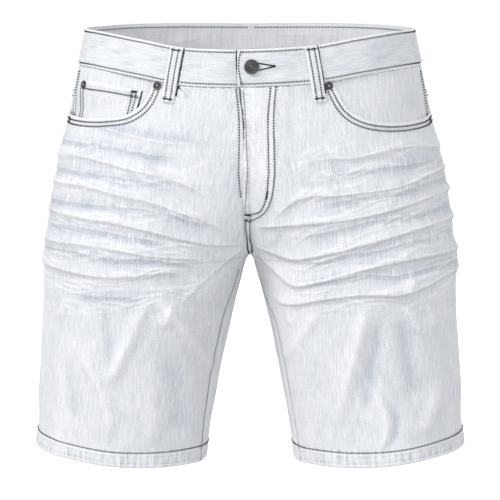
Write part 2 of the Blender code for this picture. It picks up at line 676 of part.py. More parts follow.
def belt_loops(material):
    """The five belt loops."""
    long = BAND_DEPTH + LOOP_TAIL
    for name, (side, x_top, x_bottom) in FRONT_LOOPS.items():
        belt_loop(name, FRONT, side, FRONT.distance(side, x_top, 0.0),
                  FRONT.distance(side, x_bottom, long), material, flip=side == RIGHT)
    for side, name in ((LEFT, "belt_loop_side_left"), (RIGHT, "belt_loop_side_right")):
        a_top = BACK.width(0.0) - SIDE_LOOP_BEHIND_SEAM
        a_bottom = BACK.width(long) - SIDE_LOOP_BEHIND_SEAM
        belt_loop(name, BACK, side, a_top, a_bottom, material, flip=side == LEFT)
    belt_loop("belt_loop_back", BACK, LEFT, 0.0, 0.0, material, flip=True, rise=0.0002)


# ---------------------------------------------------------------- hems, button and rivets
def hem(side, material):
    """The hem's turned-up layer, a ring inside the leg."""
    across = front_columns(side)
    round_leg = np.concatenate([across, 2 - np.linspace(1, 0, BACK_COLUMNS + 1)[1:]])

    def lay(s, t):
        share = np.interp(s, np.linspace(0, 1, len(round_leg)), round_leg)
        v = HEM_DROP - HEM_TURN * (1 - t)
        on_front = FRONT.point(side, np.minimum(share, 1) * FRONT.width(v), v, -HEM_INSIDE)
        on_back = BACK.point(side, np.minimum(2 - share, 1) * BACK.width(v), v, -HEM_INSIDE)
        return np.where((share <= 1)[:, None], on_front, on_back)

    ring = cloth("hem_left" if side == LEFT else "hem_right", len(round_leg) - 1, 1, lay,
                 CLOTH, material, flip=side == RIGHT)
    bm = bmesh.new()
    bm.from_mesh(ring.data)
    bmesh.ops.remove_doubles(bm, verts=bm.verts, dist=1e-5)
    bm.to_mesh(ring.data)
    bm.free()
    return ring


def turned(name, profile, place, outward, material, steps=20):
    """A turned piece: its profile is (radius, height) from the top of the axis down, and it
    stands at place with its axis outward."""
    mesh = bpy.data.meshes.new(name)
    points = [(radius, 0.0, tall) for radius, tall in profile]
    mesh.from_pydata(points, [(i, i + 1) for i in range(len(points) - 1)], [])
    obj = finish_object(name, mesh, material)
    screw = obj.modifiers.new("turn", "SCREW")
    screw.steps = screw.render_steps = steps
    screw.use_merge_vertices = True
    screw.merge_threshold = 0.0001
    obj.location = place
    obj.rotation_mode = "QUATERNION"
    obj.rotation_quaternion = outward.to_track_quat("Z", "Y")
    return obj


def outward_at(panel, side, a, v, lift):
    """A point off the form, and the direction away from the form there."""
    here = Vector(panel.point(side, a, v, lift))
    away = Vector(panel.point(side, a, v, lift + 0.01))
    return here, (away - here).normalized()


def button(material):
    """The shank button, from the band's under end up through the buttonhole."""
    b = BUTTON
    a = FRONT.distance(LEFT, b["x"], b["drop"])
    under_face = BAND_THICK / 2 - BAND_STEP - LAYER_GAP + 0.0002
    over_face = BAND_THICK / 2 + BAND_STEP
    place, outward = outward_at(FRONT, LEFT, a, b["drop"], under_face + 0.0003)
    lip = over_face - under_face + 0.0004
    head, radius, shank = b["head"], b["radius"], b["shank"]
    profile = [(0.0, lip + head * 0.72), (radius * 0.30, lip + head * 0.72),
               (radius * 0.36, lip + head * 0.50), (radius * 0.50, lip + head * 0.50),
               (radius * 0.62, lip + head * 0.92), (radius * 0.84, lip + head),
               (radius, lip + head * 0.62), (radius * 0.97, lip + head * 0.16),
               (radius * 0.80, lip), (shank, lip), (shank, 0.0), (0.0, 0.0)]
    return turned("button", profile, place, outward, material, steps=24)


def rivet(name, side, a, v, lift, material):
    """A burred rivet on the cloth."""
    place, outward = outward_at(FRONT, side, a, v, lift + LAYER_GAP)
    r, tall = RIVET_RADIUS, RIVET_HEIGHT
    profile = [(0.0, tall * 0.9), (r * 0.22, tall * 1.2), (r * 0.34, tall * 0.55),
               (r * 0.60, tall * 0.60), (r * 0.80, tall), (r, tall * 0.5), (r * 0.98, 0.0),
               (0.0, 0.0)]
    return turned(name, profile, place, outward, material, steps=16)


def rivets(material):
    """The rivets at the inner ends of the pocket mouths, and on the coin pocket."""
    for side, name in ((LEFT, "rivet_left"), (RIGHT, "rivet_right")):
        rivet(name, side, RIVET_DISTANCE[side], RIVET_DROP, 0.0, material)
    c = COIN_POCKET
    v = BAND_DEPTH + c["drop_side"] + 0.0048
    a = FRONT.width(v) - c["side"] - 0.0065
    lift = facing_lift(RIGHT, a / FRONT.width(v), v) + LAYER_GAP + CLOTH
    rivet("rivet_coin", RIGHT, a, v, lift + 0.0003, material)


def main():
    """Clears the scene and builds the shorts."""
    for obj in list(bpy.data.objects):
        bpy.data.objects.remove(obj)
    for name in ("denim_shorts", "cutters"):
        bpy.context.scene.collection.children.link(bpy.data.collections.new(name))
    denim, metal = new_material("denim", DENIM), new_material("dark_metal", METAL)
    for side in (LEFT, RIGHT):
        front(side, denim)
        back(side, denim)
        yoke(side, denim)
        facing(side, denim)
        back_pocket(side, denim)
        hem(side, denim)
    coin_pocket(denim)
    fly_facing(denim)
    fly_shield(denim)
    waistband(denim)
    belt_loops(denim)
    button(metal)
    rivets(metal)


main()
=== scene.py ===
"""The looks of a pair of light-wash denim shorts, filled out and hollow, round their CAD frame.

Metres, +Z up.  The front faces -Y and the wearer's left is +X.  The origin is the centre of
the waist opening, level with the waistband's top edge at the sides.

Each cloth piece is a thin closed shell on the form that its solid has.  A place on the cloth is
(side, a, v): the wearer's side, the distance along the cloth from the middle or the inseam,
and the drop below the waistband's top edge.  Stitching is real thread along such places.
Tables of places are in millimetres, which mm() turns into metres.
"""
from __future__ import annotations

import logging
import math
from dataclasses import dataclass, field
from enum import Enum
from typing import Callable, Sequence

import bpy
import numpy as np
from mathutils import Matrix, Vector

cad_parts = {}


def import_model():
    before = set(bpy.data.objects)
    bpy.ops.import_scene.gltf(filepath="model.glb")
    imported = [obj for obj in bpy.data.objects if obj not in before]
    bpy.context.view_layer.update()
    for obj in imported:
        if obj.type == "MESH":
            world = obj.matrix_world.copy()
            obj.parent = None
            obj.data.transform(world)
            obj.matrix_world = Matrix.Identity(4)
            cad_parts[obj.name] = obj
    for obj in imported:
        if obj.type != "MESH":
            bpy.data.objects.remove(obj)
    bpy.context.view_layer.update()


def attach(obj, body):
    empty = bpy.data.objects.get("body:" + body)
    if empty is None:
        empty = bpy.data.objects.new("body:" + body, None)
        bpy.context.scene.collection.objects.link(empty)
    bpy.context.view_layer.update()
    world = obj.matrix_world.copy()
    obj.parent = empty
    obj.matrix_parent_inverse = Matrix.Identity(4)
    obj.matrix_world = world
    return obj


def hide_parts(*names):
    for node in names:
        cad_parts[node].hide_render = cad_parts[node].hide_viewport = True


LOG = logging.getLogger("denim_shorts")
Array = np.ndarray
Points = Sequence[tuple[float, float]]
Socket = bpy.types.NodeSocket
Piece = bpy.types.Object

# ------------------------------------------------------------------ sizes that pieces share
CLOTH = 0.0014              # one layer of denim
SEAM_GAP = 0.0005           # between pieces that are sewn edge to edge
LAYER_GAP = 0.0005          # between a piece and the one that it lies on
BAND_DEPTH = 0.039
BAND_THICK = 0.0030
BELOW_BAND = BAND_DEPTH + SEAM_GAP
CROTCH_DROP = 0.245
HEM_DROP = 0.465
HEM_TURN = 0.0185
INSEAM_SETTLES = 0.08       # below the crotch, where the inseam reaches its place
HANDLE = 0.58               # how full the ovals are: 0.55 is an ellipse
SIDE_SEAM_W = 1.93          # the side seam's place round the oval, in quarters
INSEAM_W = 0.22
BAND_TILT = 0.0013          # the front of the band is this much lower on the right
FORK_SHARE = 0.5            # how much of a panel's width the curved rise pulls down
CREASE_TURNS = (-0.020, 0.045)      # the depth y over which front folds give way to back ones
RIDGES_BEGIN, RIDGES_END = 0.128, 0.300     # the drops between which rows are closest
HEM_ROWS_BEGIN = HEM_DROP - HEM_TURN - 0.004
NO_LINE = 0.03              # a mark's distance where no such line is near
PROBE = 0.01                # how far off the cloth its outward direction is taken


class Side(Enum):
    """The wearer's side, as the sign of x."""

    LEFT = 1
    RIGHT = -1

    def of(self, piece: str) -> str:
        """The name of this side's piece."""
        return f"{piece}_{self.name.lower()}"


class Part(Enum):
    """The two panels of each half."""

    FRONT = "front"
    BACK = "back"


# ------------------------------------------------------------------ small mathematics
def mm(*numbers: float) -> Points:
    """Pairs of metres, from a row of numbers in millimetres."""
    return tuple((one / 1000, two / 1000) for one, two in zip(numbers[::2], numbers[1::2]))


def smooth(low: float, high: float, x: Array | float) -> Array:
    """0 below low and 1 above high, with a smooth step between them."""
    t = np.clip((x - low) / (high - low), 0.0, 1.0)
    return t * t * (3.0 - 2.0 * t)


def bell(x: Array | float, half: float, power: float = 2.0) -> Array:
    """1 at 0, falling away on both sides as a bell of the given half width."""
    return np.exp(-np.abs(x / half) ** power)


def spline(knots: Array, values: Array, x: Array) -> Array:
    """A cubic through the values at the knots, level beyond both ends.

    Args:
        knots: Places, rising or falling.
        values: The value at each knot.
        x: The places to look up.
    Returns:
        The value at each place.
    """
    if knots[0] > knots[-1]:
        knots, values = knots[::-1], values[::-1]
    slopes = np.gradient(values, knots)
    x = np.clip(x, knots[0], knots[-1])
    i = np.clip(np.searchsorted(knots, x) - 1, 0, len(knots) - 2)
    span = knots[i + 1] - knots[i]
    t = (x - knots[i]) / span
    return ((1 + 2 * t) * (1 - t) ** 2 * values[i] + t * (1 - t) ** 2 * span * slopes[i]
            + t * t * (3 - 2 * t) * values[i + 1] + t * t * (t - 1) * span * slopes[i + 1])


def curve(line: Points, x: Array) -> Array:
    """The cubic through a line's points, at x."""
    known = np.asarray(line)
    return spline(known[:, 0], known[:, 1], x)


def grid_value(table: Array, row: Array, column: Array) -> Array:
    """A table's value at a place between its rows and columns.

    Args:
        table: The values.
        row: The row, with a fraction.
        column: The column, with a fraction.
    Returns:
        The values between the four nearest ones.
    """
    i = np.clip(row.astype(int), 0, table.shape[0] - 2)
    j = np.clip(column.astype(int), 0, table.shape[1] - 2)
    r, c = row - i, column - j
    return ((table[i, j] * (1 - c) + table[i, j + 1] * c) * (1 - r)
            + (table[i + 1, j] * (1 - c) + table[i + 1, j + 1] * c) * r)


def unit(vectors: Array) -> Array:
    """The vectors, each made one metre long."""
    return vectors / np.maximum(np.linalg.norm(vectors, axis=-1, keepdims=True), 1e-12)


def travelled(points: Array) -> Array:
    """The distance along each row of points from its first one."""
    steps = np.linalg.norm(np.diff(points, axis=-2), axis=-1)
    return np.concatenate([np.zeros((*steps.shape[:-1], 1)), np.cumsum(steps, axis=-1)], -1)


def nearest(points: Array, lines: Sequence[Array]) -> tuple[Array, Array]:
    """How far points are from the nearest of some lines of close points.

    Args:
        points: Places, with x, y and z last.
        lines: The points of each line, close together.
    Returns:
        The distance to the lines, and the distance along the nearest one.
    """
    runs = [travelled(line) for line in lines]
    reach = 0.6 * max(np.diff(run).max() for run in runs)
    knot, run = np.concatenate(lines), np.concatenate(runs)
    way = np.concatenate([unit(np.gradient(line, axis=0)) for line in lines])
    flat, chunk_size = points.reshape(-1, 3), 12000
    out = np.empty((2, len(flat)))
    for start in range(0, len(flat), chunk_size):
        chunk = flat[start:start + chunk_size]
        squares = (chunk ** 2).sum(1)[:, None] + (knot ** 2).sum(1)[None] - 2 * chunk @ knot.T
        best = squares.argmin(1)
        off = chunk - knot[best]
        along = np.clip((off * way[best]).sum(1), -reach, reach)
        far = np.sqrt(np.maximum((off ** 2).sum(1) - along ** 2, 0.0))
        out[:, start:start + chunk_size] = far, run[best] + along
    return tuple(row.reshape(points.shape[:-1]) for row in out)


def resample(line: Array, pitch: float) -> Array:
    """The same line with its points an equal distance apart.

    Args:
        line: Points with any number of columns, of which the first three are x, y and z.
        pitch: The wanted distance.
    Returns:
        The new points, with the same columns.
    """
    along = travelled(line[:, :3])
    at = np.linspace(0.0, along[-1], max(2, int(round(along[-1] / pitch)) + 1))
    return np.stack([np.interp(at, along, column) for column in line.T], 1)


def closest(distances: list[Array]) -> Array:
    """The signed distance to whichever line is the nearest at each point.

    Args:
        distances: The signed distances to each line.
    Returns:
        The nearest line's distance at each point.
    """
    nearest_one = distances[0]
    for distance in distances[1:]:
        nearest_one = np.where(np.abs(distance) < np.abs(nearest_one), distance, nearest_one)
    return nearest_one


# ------------------------------------------------------------------ the form
class Form:
    """Half of the garment as a tube: the waist oval at the top, and the leg oval below.

    What lies on its own side of the middle is cloth, and the two halves meet in the rise seam.
    """

    # z, then the side's x and y, the front's, the back's, and the inner line's y
    SECTIONS = np.array((
        (20, 173.5, 0, 0, -115.5, 0, 103.5, 0),
        (0, 177.5, 0, 0, -117.5, 0, 107, 0),
        (-40, 186.2, 0, 8, -120.5, 8, 118, 0),
        (-80, 194.7, -1, 20, -124, 24, 130, -1),
        (-120, 204.2, -2, 36, -126.8, 40, 138.5, -4),
        (-160, 212.2, -3, 56, -128, 60, 142, -8),
        (-200, 218.7, -4, 84, -126.8, 86, 138.5, -13),
        (-245, 224.8, -4, 110, -123, 110, 128, -20),
        (-290, 226.2, -3, 121, -119, 121, 118, -17),
        (-350, 230, -2, 129, -112, 130, 107, -12),
        (-400, 233.2, -1, 135, -105, 136, 99, -7),
        (-430, 233.4, -1, 138, -101.8, 139, 96.2, -6),
        (-455, 237, 0, 141, -100.5, 142, 95, -5),
        (-485, 238.5, 0, 142, -100, 143, 94.5, -4))) / 1000
    INNER_LINE = mm(20, -173.5, 0, -177.5, -40, -185, -80, -178, -120, -150, -160, -105, -200, -54,
                    -225, -21.5, -240, -4.2, -245, 0.5, -249, 3.6, -256, 6, -275, 10.8, -319, 21.2,
                    -363, 30.5, -407, 38.8, -451, 46, -485, 50)
    EDGE_SHARE = np.array((0.0, 0.12, 0.25, 0.45, 0.72, 1.0))
    TOP_EDGE = {Part.FRONT: np.array((-22.2, -21.5, -19.2, -11.2, -3.7, -0.7)) / 1000,
                Part.BACK: np.array((5.5, 5.7, 5.8, 5.0, 2.1, -0.7)) / 1000}
    HEM_EDGE = {Part.FRONT: np.array((-7.0, -5.2, -4.3, -1.7, 6.0, 9.5)) / 1000,
                Part.BACK: np.array((-7.0, -6.0, -4.0, 0.0, 5.5, 9.5)) / 1000}
    RISE_TURNS = {Part.FRONT: 0.140, Part.BACK: 0.150}
    LEVELS = np.linspace(-CROTCH_DROP, 0.03, 2200)
    CROSSINGS: dict[Part, Array] = {}

    @classmethod
    def oval(cls, z: Array) -> Array:
        """The innermost, foremost, outermost and rearmost points of the sections at z.

        Args:
            z: Heights.
        Returns:
            The four points of the section at each height.
        """
        side_x, side_y, front_x, front_y, back_x, back_y, inner_y = (
            spline(cls.SECTIONS[:, 0], column, z) for column in cls.SECTIONS.T[1:])
        return np.stack([np.stack(point, -1) for point in (
            (curve(cls.INNER_LINE, z), inner_y), (front_x, front_y), (side_x, side_y),
            (back_x, back_y))])

    @classmethod
    def tube(cls, w: Array, z: Array) -> Array:
        """Points of the left tube.

        Args:
            w: Quarters round from the innermost line.
            z: Heights.
        Returns:
            The points, with x, y and z last.
        """
        quarter = np.floor(w).astype(int)
        t = (w - quarter)[..., None]
        place = np.arange(z.size).reshape(z.shape)
        flat = cls.oval(z).reshape(4, -1, 2)
        start, end = flat[quarter % 4, place], flat[(quarter + 1) % 4, place]
        reach = (end - start) * HANDLE
        along_y = (quarter % 2 == 0)[..., None]
        first = start + np.where(along_y, reach * (0, 1), reach * (1, 0))
        second = end - np.where(along_y, reach * (1, 0), reach * (0, 1))
        xy = ((1 - t) ** 3 * start + 3 * (1 - t) ** 2 * t * first
              + 3 * (1 - t) * t * t * second + t ** 3 * end)
        return np.concatenate([xy, z[..., None]], -1)

    @classmethod
    def middle_w(cls, part: Part, z: Array) -> Array:
        """Where a level section of the panel crosses the middle, in quarters round.

        Args:
            part: The panel of the half.
            z: Heights.
        Returns:
            The places of the middle, in quarters round.
        """
        low, high = np.zeros_like(z), np.ones_like(z)
        for _ in range(22):
            mid = (low + high) / 2
            w = mid if part is Part.FRONT else 4 - mid
            inside = cls.tube(w, z)[..., 0] < SEAM_GAP / 2
            low, high = np.where(inside, mid, low), np.where(inside, high, mid)
        return high

    @classmethod
    def start_w(cls, part: Part, z: Array) -> Array:
        """Where the panel begins: on the rise above the crotch, and on the inseam below it.

        Args:
            part: The panel of the half.
            z: Heights.
        Returns:
            The places where the panel begins, in quarters round.
        """
        turned = INSEAM_W * smooth(0.0, INSEAM_SETTLES, -CROTCH_DROP - z)
        if part not in cls.CROSSINGS:
            cls.CROSSINGS[part] = cls.middle_w(part, cls.LEVELS)
        crossing = np.interp(z, cls.LEVELS, cls.CROSSINGS[part])
        if part is Part.FRONT:
            return np.where(z > -CROTCH_DROP, crossing, turned)
        return np.where(z > -CROTCH_DROP, 4 - crossing, 4 + turned)

    @classmethod
    def height(cls, part: Part, q: Array, v: Array) -> Array:
        """The height of row v at the share q of the way from the middle to the side.

        Args:
            part: The panel of the half.
            q: Shares of the way from the middle to the side.
            v: The rows.
        Returns:
            The heights.
        """
        top = spline(cls.EDGE_SHARE, cls.TOP_EDGE[part], q)
        hem = spline(cls.EDGE_SHARE, cls.HEM_EDGE[part], q)
        level = (-v + top * (1 - smooth(BAND_DEPTH, CROTCH_DROP, v))
                 + hem * smooth(CROTCH_DROP, HEM_DROP, v))
        turns = cls.RISE_TURNS[part]
        angle = np.clip((v - turns) / (CROTCH_DROP - turns), 0.0, 1.0) * math.pi / 2
        edge = -turns - (CROTCH_DROP - turns) * np.sin(angle)
        under = smooth(turns, turns + 0.02, v) * (v < CROTCH_DROP)
        return level + (edge - level) * under * (1 - smooth(0.0, FORK_SHARE, q))

    @classmethod
    def place(cls, part: Part, q: Array, v: Array) -> tuple[Array, Array]:
        """The place round the tube, and the height, of the share q of row v.

        Args:
            part: The panel of the half.
            q: Shares of the way from the middle to the side.
            v: The rows.
        Returns:
            The places round the tube, and the heights.
        """
        z = cls.height(part, q, v)
        begin = cls.start_w(part, z)
        return begin + (SIDE_SEAM_W - begin) * q, z


# ------------------------------------------------------------------ folds
def lasting(line: Array, x: Array, fade_in: float, fade_out: float) -> Array:
    """How much of a fold is left at x, between the ends of its line.

    Args:
        line: The fold's points, in order along x.
        x: Places across.
        fade_in: How far it takes to rise at its low end.
        fade_out: How far it takes to fall at its high end.
    Returns:
        The share that is left, from 0 to 1.
    """
    low, high = sorted((line[0, 0], line[-1, 0]))
    return (smooth(low - 0.001, low + fade_in, x)
            * (1 - smooth(high - fade_out, high + 0.001, x)))


@dataclass(frozen=True)
class Ridge:
    """A pressed fold across the cloth, as a line of (x, z) with a crest and two slopes."""

    tall: float
    above: float
    below: float
    line: Points
    fade: tuple[float, float] = (0.03, 0.03)

    @classmethod
    def pressed(cls, tall: float, above: float, below: float, fade_in: float, fade_out: float,
                *line: float) -> "Ridge":
        """A ridge whose sizes and line are in millimetres."""
        return cls(tall / 1000, above / 1000, below / 1000, mm(*line),
                   (fade_in / 1000, fade_out / 1000))

    def across(self, x: Array, z: Array) -> tuple[Array, Array]:
        """The distance up from the crest, and how much of the ridge is left at its ends.

        Args:
            x: Places across.
            z: Heights.
        Returns:
            The distances up from the crest, and the shares left.
        """
        step = 0.002
        lean = (curve(self.line, x + step) - curve(self.line, x - step)) / (2 * step)
        up = (z - curve(self.line, x)) / np.sqrt(1 + lean ** 2)
        return up, lasting(np.array(self.line), x, *self.fade)

    def lift(self, x: Array, z: Array) -> Array:
        """How far the ridge lifts the cloth.

        Args:
            x: Places across.
            z: Heights.
        Returns:
            The lift, in metres.
        """
        up, left = self.across(x, z)
        slope = np.where(up > 0, bell(up, self.above, 1.35), bell(up, self.below, 1.5))
        return self.tall * slope * left


@dataclass(frozen=True)
class Drape:
    """A soft fold down the cloth, as a line of (z, x)."""

    tall: float
    half: float
    fade: float
    line: Points

    @classmethod
    def hung(cls, tall: float, half: float, fade: float, *line: float) -> "Drape":
        """A drape whose sizes and line are in millimetres."""
        return cls(tall / 1000, half / 1000, fade / 1000, mm(*line))

    def lift(self, x: Array, z: Array) -> Array:
        """How far the fold lifts the cloth."""
        left = lasting(np.array(self.line), z, self.fade, self.fade)
        return self.tall * bell(x - curve(self.line, z), self.half) * left


class FoldMap:
    """All folds of the cloth: the pressed ridges and blue lines, the drape and the puckers.

    A row of RIDGES has a ridge's height, its two slopes, its two fades, and its line; a row of
    DRAPES has its height, half width and fade, and its line.
    """

    RIDGES = tuple(Ridge.pressed(*row) for row in (
        (1.1, 8, 4.2, 20, 20, -165, -103, -157, -104.9, -127.7, -112.2, -83.5, -119.7, -58.5,
         -120.4),
        (2.4, 8.8, 3.8, 20, 35, -260, -134, -202.6, -135.9, -187.9, -135.2, -151.1, -141.2, -124.7,
         -147.8, -85, -155.9, -64.4, -164, -39.4, -178.5),
        (2.4, 8, 3.8, 20, 45, -260, -162, -205.5, -165.3, -168.8, -167.5, -139.4, -174.1, -99.7,
         -182.2, -76.2, -190.3, -46.7, -201, -11, -220),
        (2.8, 8, 3.5, 20, 18, -260, -192, -207, -196.2, -179.1, -199.8, -148.1, -202.7, -105.5,
         -210.8, -79, -217.4, -46.7, -224.7, -6, -227.8),
        (2.2, 8, 3.5, 20, 30, -260, -224, -212.9, -227, -171.8, -227.8, -139.4, -231.6, -105.5,
         -237.4, -64.4, -240.5, -40, -244),
        (2.8, 7.2, 3.5, 20, 16, -260, -251, -212.9, -253.7, -171.8, -258.9, -139.4, -260.3, -113,
         -257.4, -83.5, -255.2, -69, -258),
        (2.2, 5, 7, 20, 4, -76, -293, -69.4, -285.2, -48, -264, -28, -247, -8, -233),
        (2.4, 8.8, 4.2, 50, 20, 52, -147, 57.5, -143, 112, -135, 173, -125, 200, -127.5, 260,
         -126),
        (2.9, 8, 3.8, 20, 20, 24, -198, 43.3, -181.3, 97, -173.5, 156.4, -166.6, 200.4, -152, 260,
         -150),
        (3.5, 8, 3.8, 18, 20, 5, -206.8, 24.1, -205.1, 53.5, -203.6, 127, -194.7, 171, -184.3,
         203.3, -175.5, 260, -171),
        (3.9, 8, 3.8, 12, 20, 2, -224.3, 25, -234, 43.3, -240.5, 70, -237, 112, -227.2, 157, -216,
         215, -204, 260, -202),
        (3.9, 8, 3.8, 16, 20, 4, -236, 25, -253, 46, -270, 70, -266, 97, -257.5, 157, -244, 221,
         -238, 260, -236),
        (3.9, 8, 3.8, 12, 20, 24, -285, 37.5, -291.4, 45, -291.3, 76.5, -283.8, 115.8, -278.5, 161,
         -278.5, 185.2, -271.7, 211, -261.2, 260, -259)))
    BLUE_LINES = tuple(mm(*row) for row in (
        (-260, -120, -193.8, -124.1, -139.4, -128.5, -102.7, -135.9, -68.9, -137.4),
        (-260, -150, -201.2, -153.7, -130.6, -160.9, -98.2, -165.3, -73.3, -171.2),
        (-260, -185, -205.5, -187.4, -142.3, -190.4, -105.5, -193.3, -71.8, -200.7, -40.9, -209.6),
        (-260, -210, -208.5, -212.5, -151.1, -216.8, -120.3, -222, -80.6, -227.2),
        (-260, -238, -173.2, -240.5, -142.3, -245, -108.4, -245, -79.1, -247.8, -49.7, -253.8),
        (-195.2, -283.2, -149.6, -285.4, -127.6, -284.8, -104, -280.3),
        (65.3, -160.9, 117, -152.1, 167, -147.7, 200.6, -144.7, 260, -143),
        (65.3, -188.9, 120, -179.9, 165.5, -173.3, 197.7, -165.2, 260, -163),
        (38.8, -222.7, 74.2, -216.8, 127.1, -205, 178.6, -199, 208, -193.2, 260, -191),
        (43.3, -258.2, 83, -243.5, 138.9, -234.6, 171.2, -227.2, 208, -219.8, 260, -218),
        (44.7, -275.9, 77.2, -268.5, 119.9, -261.1, 156.4, -262.6, 171.2, -259.7, 209.4, -253.7,
         260, -252)))
    MINOR = tuple(Ridge(0.0010, 0.0048, 0.0022, tuple((x, z + 0.0042) for x, z in line))
                  for line in BLUE_LINES)
    BLUE_ZONE = mm(-168, -101, -127.7, -107, -83.5, -114, -30, -117)
    BACK_RIDGES = tuple(Ridge.pressed(*row) for row in (
        (2.6, 14, 8, 20, 30, -260, -198, -190, -205, -120, -221, -60, -234, -30, -241),
        (2.8, 13, 7, 20, 40, -260, -238, -190, -247, -120, -258, -60, -266, -42, -268),
        (2.2, 13, 8, 20, 50, -260, -276, -200, -284, -130, -292, -70, -297),
        (2.6, 14, 8, 30, 20, 30, -239, 70, -232, 130, -219, 200, -207, 260, -201),
        (3, 13, 7, 40, 20, 42, -270, 70, -268, 130, -259, 200, -250, 260, -243),
        (2, 13, 8, 50, 20, 75, -300, 130, -296, 200, -288, 260, -280)))
    FRONT_DRAPES = tuple(Drape.hung(*row) for row in (
        (5.2, 8.5, 30, -385, -150, -352, -139, -325, -126, -300, -116, -278, -98),
        (3.4, 6, 30, -445, -149, -410, -150, -385, -157, -358, -171, -330, -186),
        (-2.4, 8.5, 20, -370, -150, -335, -149, -305, -152, -285, -146),
        (3.9, 7, 20, -372, -40, -345, -54, -318, -70, -296, -88, -275, -98),
        (-2.6, 14, 35, -450, -80, -390, -78, -330, -88),
        (2.1, 10, 30, -455, -108, -410, -104, -360, -108),
        (2.3, 11, 35, -475, -207, -400, -200, -320, -202),
        (-2, 8, 20, -430, -186, -380, -192, -340, -200),
        (5.5, 8, 35, -430, 92, -384, 101, -337, 112, -300, 120, -280, 123),
        (-3.4, 10, 30, -420, 122, -370, 126, -330, 134, -295, 142),
        (-3.4, 13, 25, -405, 178, -370, 172, -340, 166, -295, 160),
        (3.1, 6, 20, -455, 136, -425, 146, -398, 140, -370, 128),
        (-3.1, 7, 20, -450, 150, -420, 156, -390, 150),
        (3.1, 8, 20, -440, 180, -412, 192, -375, 206),
        (2.6, 7, 20, -360, 34, -330, 52, -305, 68, -288, 78),
        (2.1, 8, 30, -470, 60, -430, 66, -390, 60),
        (3.9, 6, 10, -282, 166.5, -256, 169),
        (2.9, 5, 10, -325, 178, -305, 172, -290, 160),
        (2.9, 5, 10, -322, 198, -306, 192, -286, 186),
        (2.6, 4.5, 8, -318, 44, -304, 42, -292, 40),
        (2.9, 5, 10, -318, -90, -302, -87, -286, -80),
        (2.1, 5, 10, -312, -206, -298, -200, -284, -196)))
    BACK_DRAPES = tuple(Drape.hung(*row) for row in (
        (2.6, 16, 35, -460, -150, -380, -132, -310, -120),
        (-2, 14, 35, -450, -100, -380, -95, -310, -85),
        (2, 14, 35, -460, -200, -390, -190, -320, -180),
        (2.6, 16, 35, -460, 155, -380, 135, -310, 122),
        (-2.2, 14, 35, -450, 105, -380, 100, -310, 90),
        (1.8, 14, 35, -460, 205, -390, 195, -320, 185)))
    CREASED_ABOVE = 0.022

    @classmethod
    def lift(cls, here: Array) -> Array:
        """How far the folds lift the cloth off the form at its points.

        Args:
            here: Points of the form, with x, y and z last.
        Returns:
            The lift, in metres.
        """
        x, y, z = np.moveaxis(here, -1, 0)
        front = 0.00085 * cls.wrinkles(x, z)
        front = front + sum(fold.lift(x, z) for fold in
                            cls.RIDGES + cls.MINOR + cls.FRONT_DRAPES)
        back = sum(fold.lift(x, z) for fold in cls.BACK_RIDGES + cls.BACK_DRAPES)
        to_back = smooth(*CREASE_TURNS, y)
        return front * (1 - to_back) + back * to_back + cls.unevenness(x, y, z)

    @classmethod
    def wrinkles(cls, x: Array, z: Array) -> Array:
        """The small broken wrinkles between the pressed ridges, along which they run.

        Args:
            x: Places across.
            z: Heights.
        Returns:
            Their share of their full height, from 0 to 1.
        """
        total = np.zeros(np.broadcast(x, z).shape)
        for sign, ridges in ((-1, cls.RIDGES[:6]), (1, cls.RIDGES[7:])):
            crests = np.sort(np.stack([curve(ridge.line, x) for ridge in ridges]), 0)[::-1]
            flow = (np.maximum(crests[-1] - z, 0.0)
                    - np.maximum(z - crests[0], 0.0)) / cls.CREASED_ABOVE
            for upper, lower in zip(crests[:-1], crests[1:]):
                flow = flow + np.clip((upper - z) / np.maximum(upper - lower, 0.008), 0.0, 1.0)
            for count, shift, bent in ((2.0, 0.4, 0.30), (3.0, 2.3, 0.22), (3.7, 4.1, 0.34)):
                turn = 2 * math.pi * count * (flow + bent * np.sin(31 * x + shift)
                                              + 0.35 * bent * np.sin(83 * x + 2 * shift))
                broken = np.clip(np.sin(47 * x + 5.1 * flow + 3 * shift)
                                 + 0.6 * np.sin(113 * x - 3.3 * flow + shift), 0.0, 1.0)
                total = total + broken * (0.5 + 0.5 * np.sin(turn + shift)) ** 3 * (
                    sign * x > 0)
        reach = smooth(0.030, 0.065, np.abs(x)) * smooth(-0.315, -0.285, z)
        return total * reach * (1 - smooth(-0.135, -0.110, z))

    @staticmethod
    def unevenness(x: Array, y: Array, z: Array) -> Array:
        """The small waves that no cut cloth is without.

        Args:
            x: Places across.
            y: Places from front to back.
            z: Heights.
        Returns:
            The lift, in metres.
        """
        wide = (np.sin(61 * x + 23 * z + 1.3) * np.sin(47 * z - 31 * y + 0.4)
                + 0.7 * np.sin(97 * x - 58 * z + 2.1) * np.sin(38 * y + 71 * z))
        fine = np.sin(173 * x + 41 * z) * np.sin(88 * z - 117 * x + 0.9)
        return smooth(-0.060, -0.110, z) * (0.00035 * wide + 0.00016 * fine)

    @staticmethod
    def gathers(along: Array, period: float, phase: float) -> Array:
        """An uneven row of small gathers, from -1 to 1.

        Args:
            along: Distances along the row.
            period: The usual length of a gather.
            phase: Where the row starts, in radians.
        Returns:
            The height of the row, from -1 to 1.
        """
        turn = 2 * math.pi * along / period
        bent = turn + 0.44 * math.pi * np.sin(turn / 3.7 + phase)
        return np.sin(bent + phase) * (0.72 + 0.28 * np.sin(turn / 5.3 + 2 * phase))

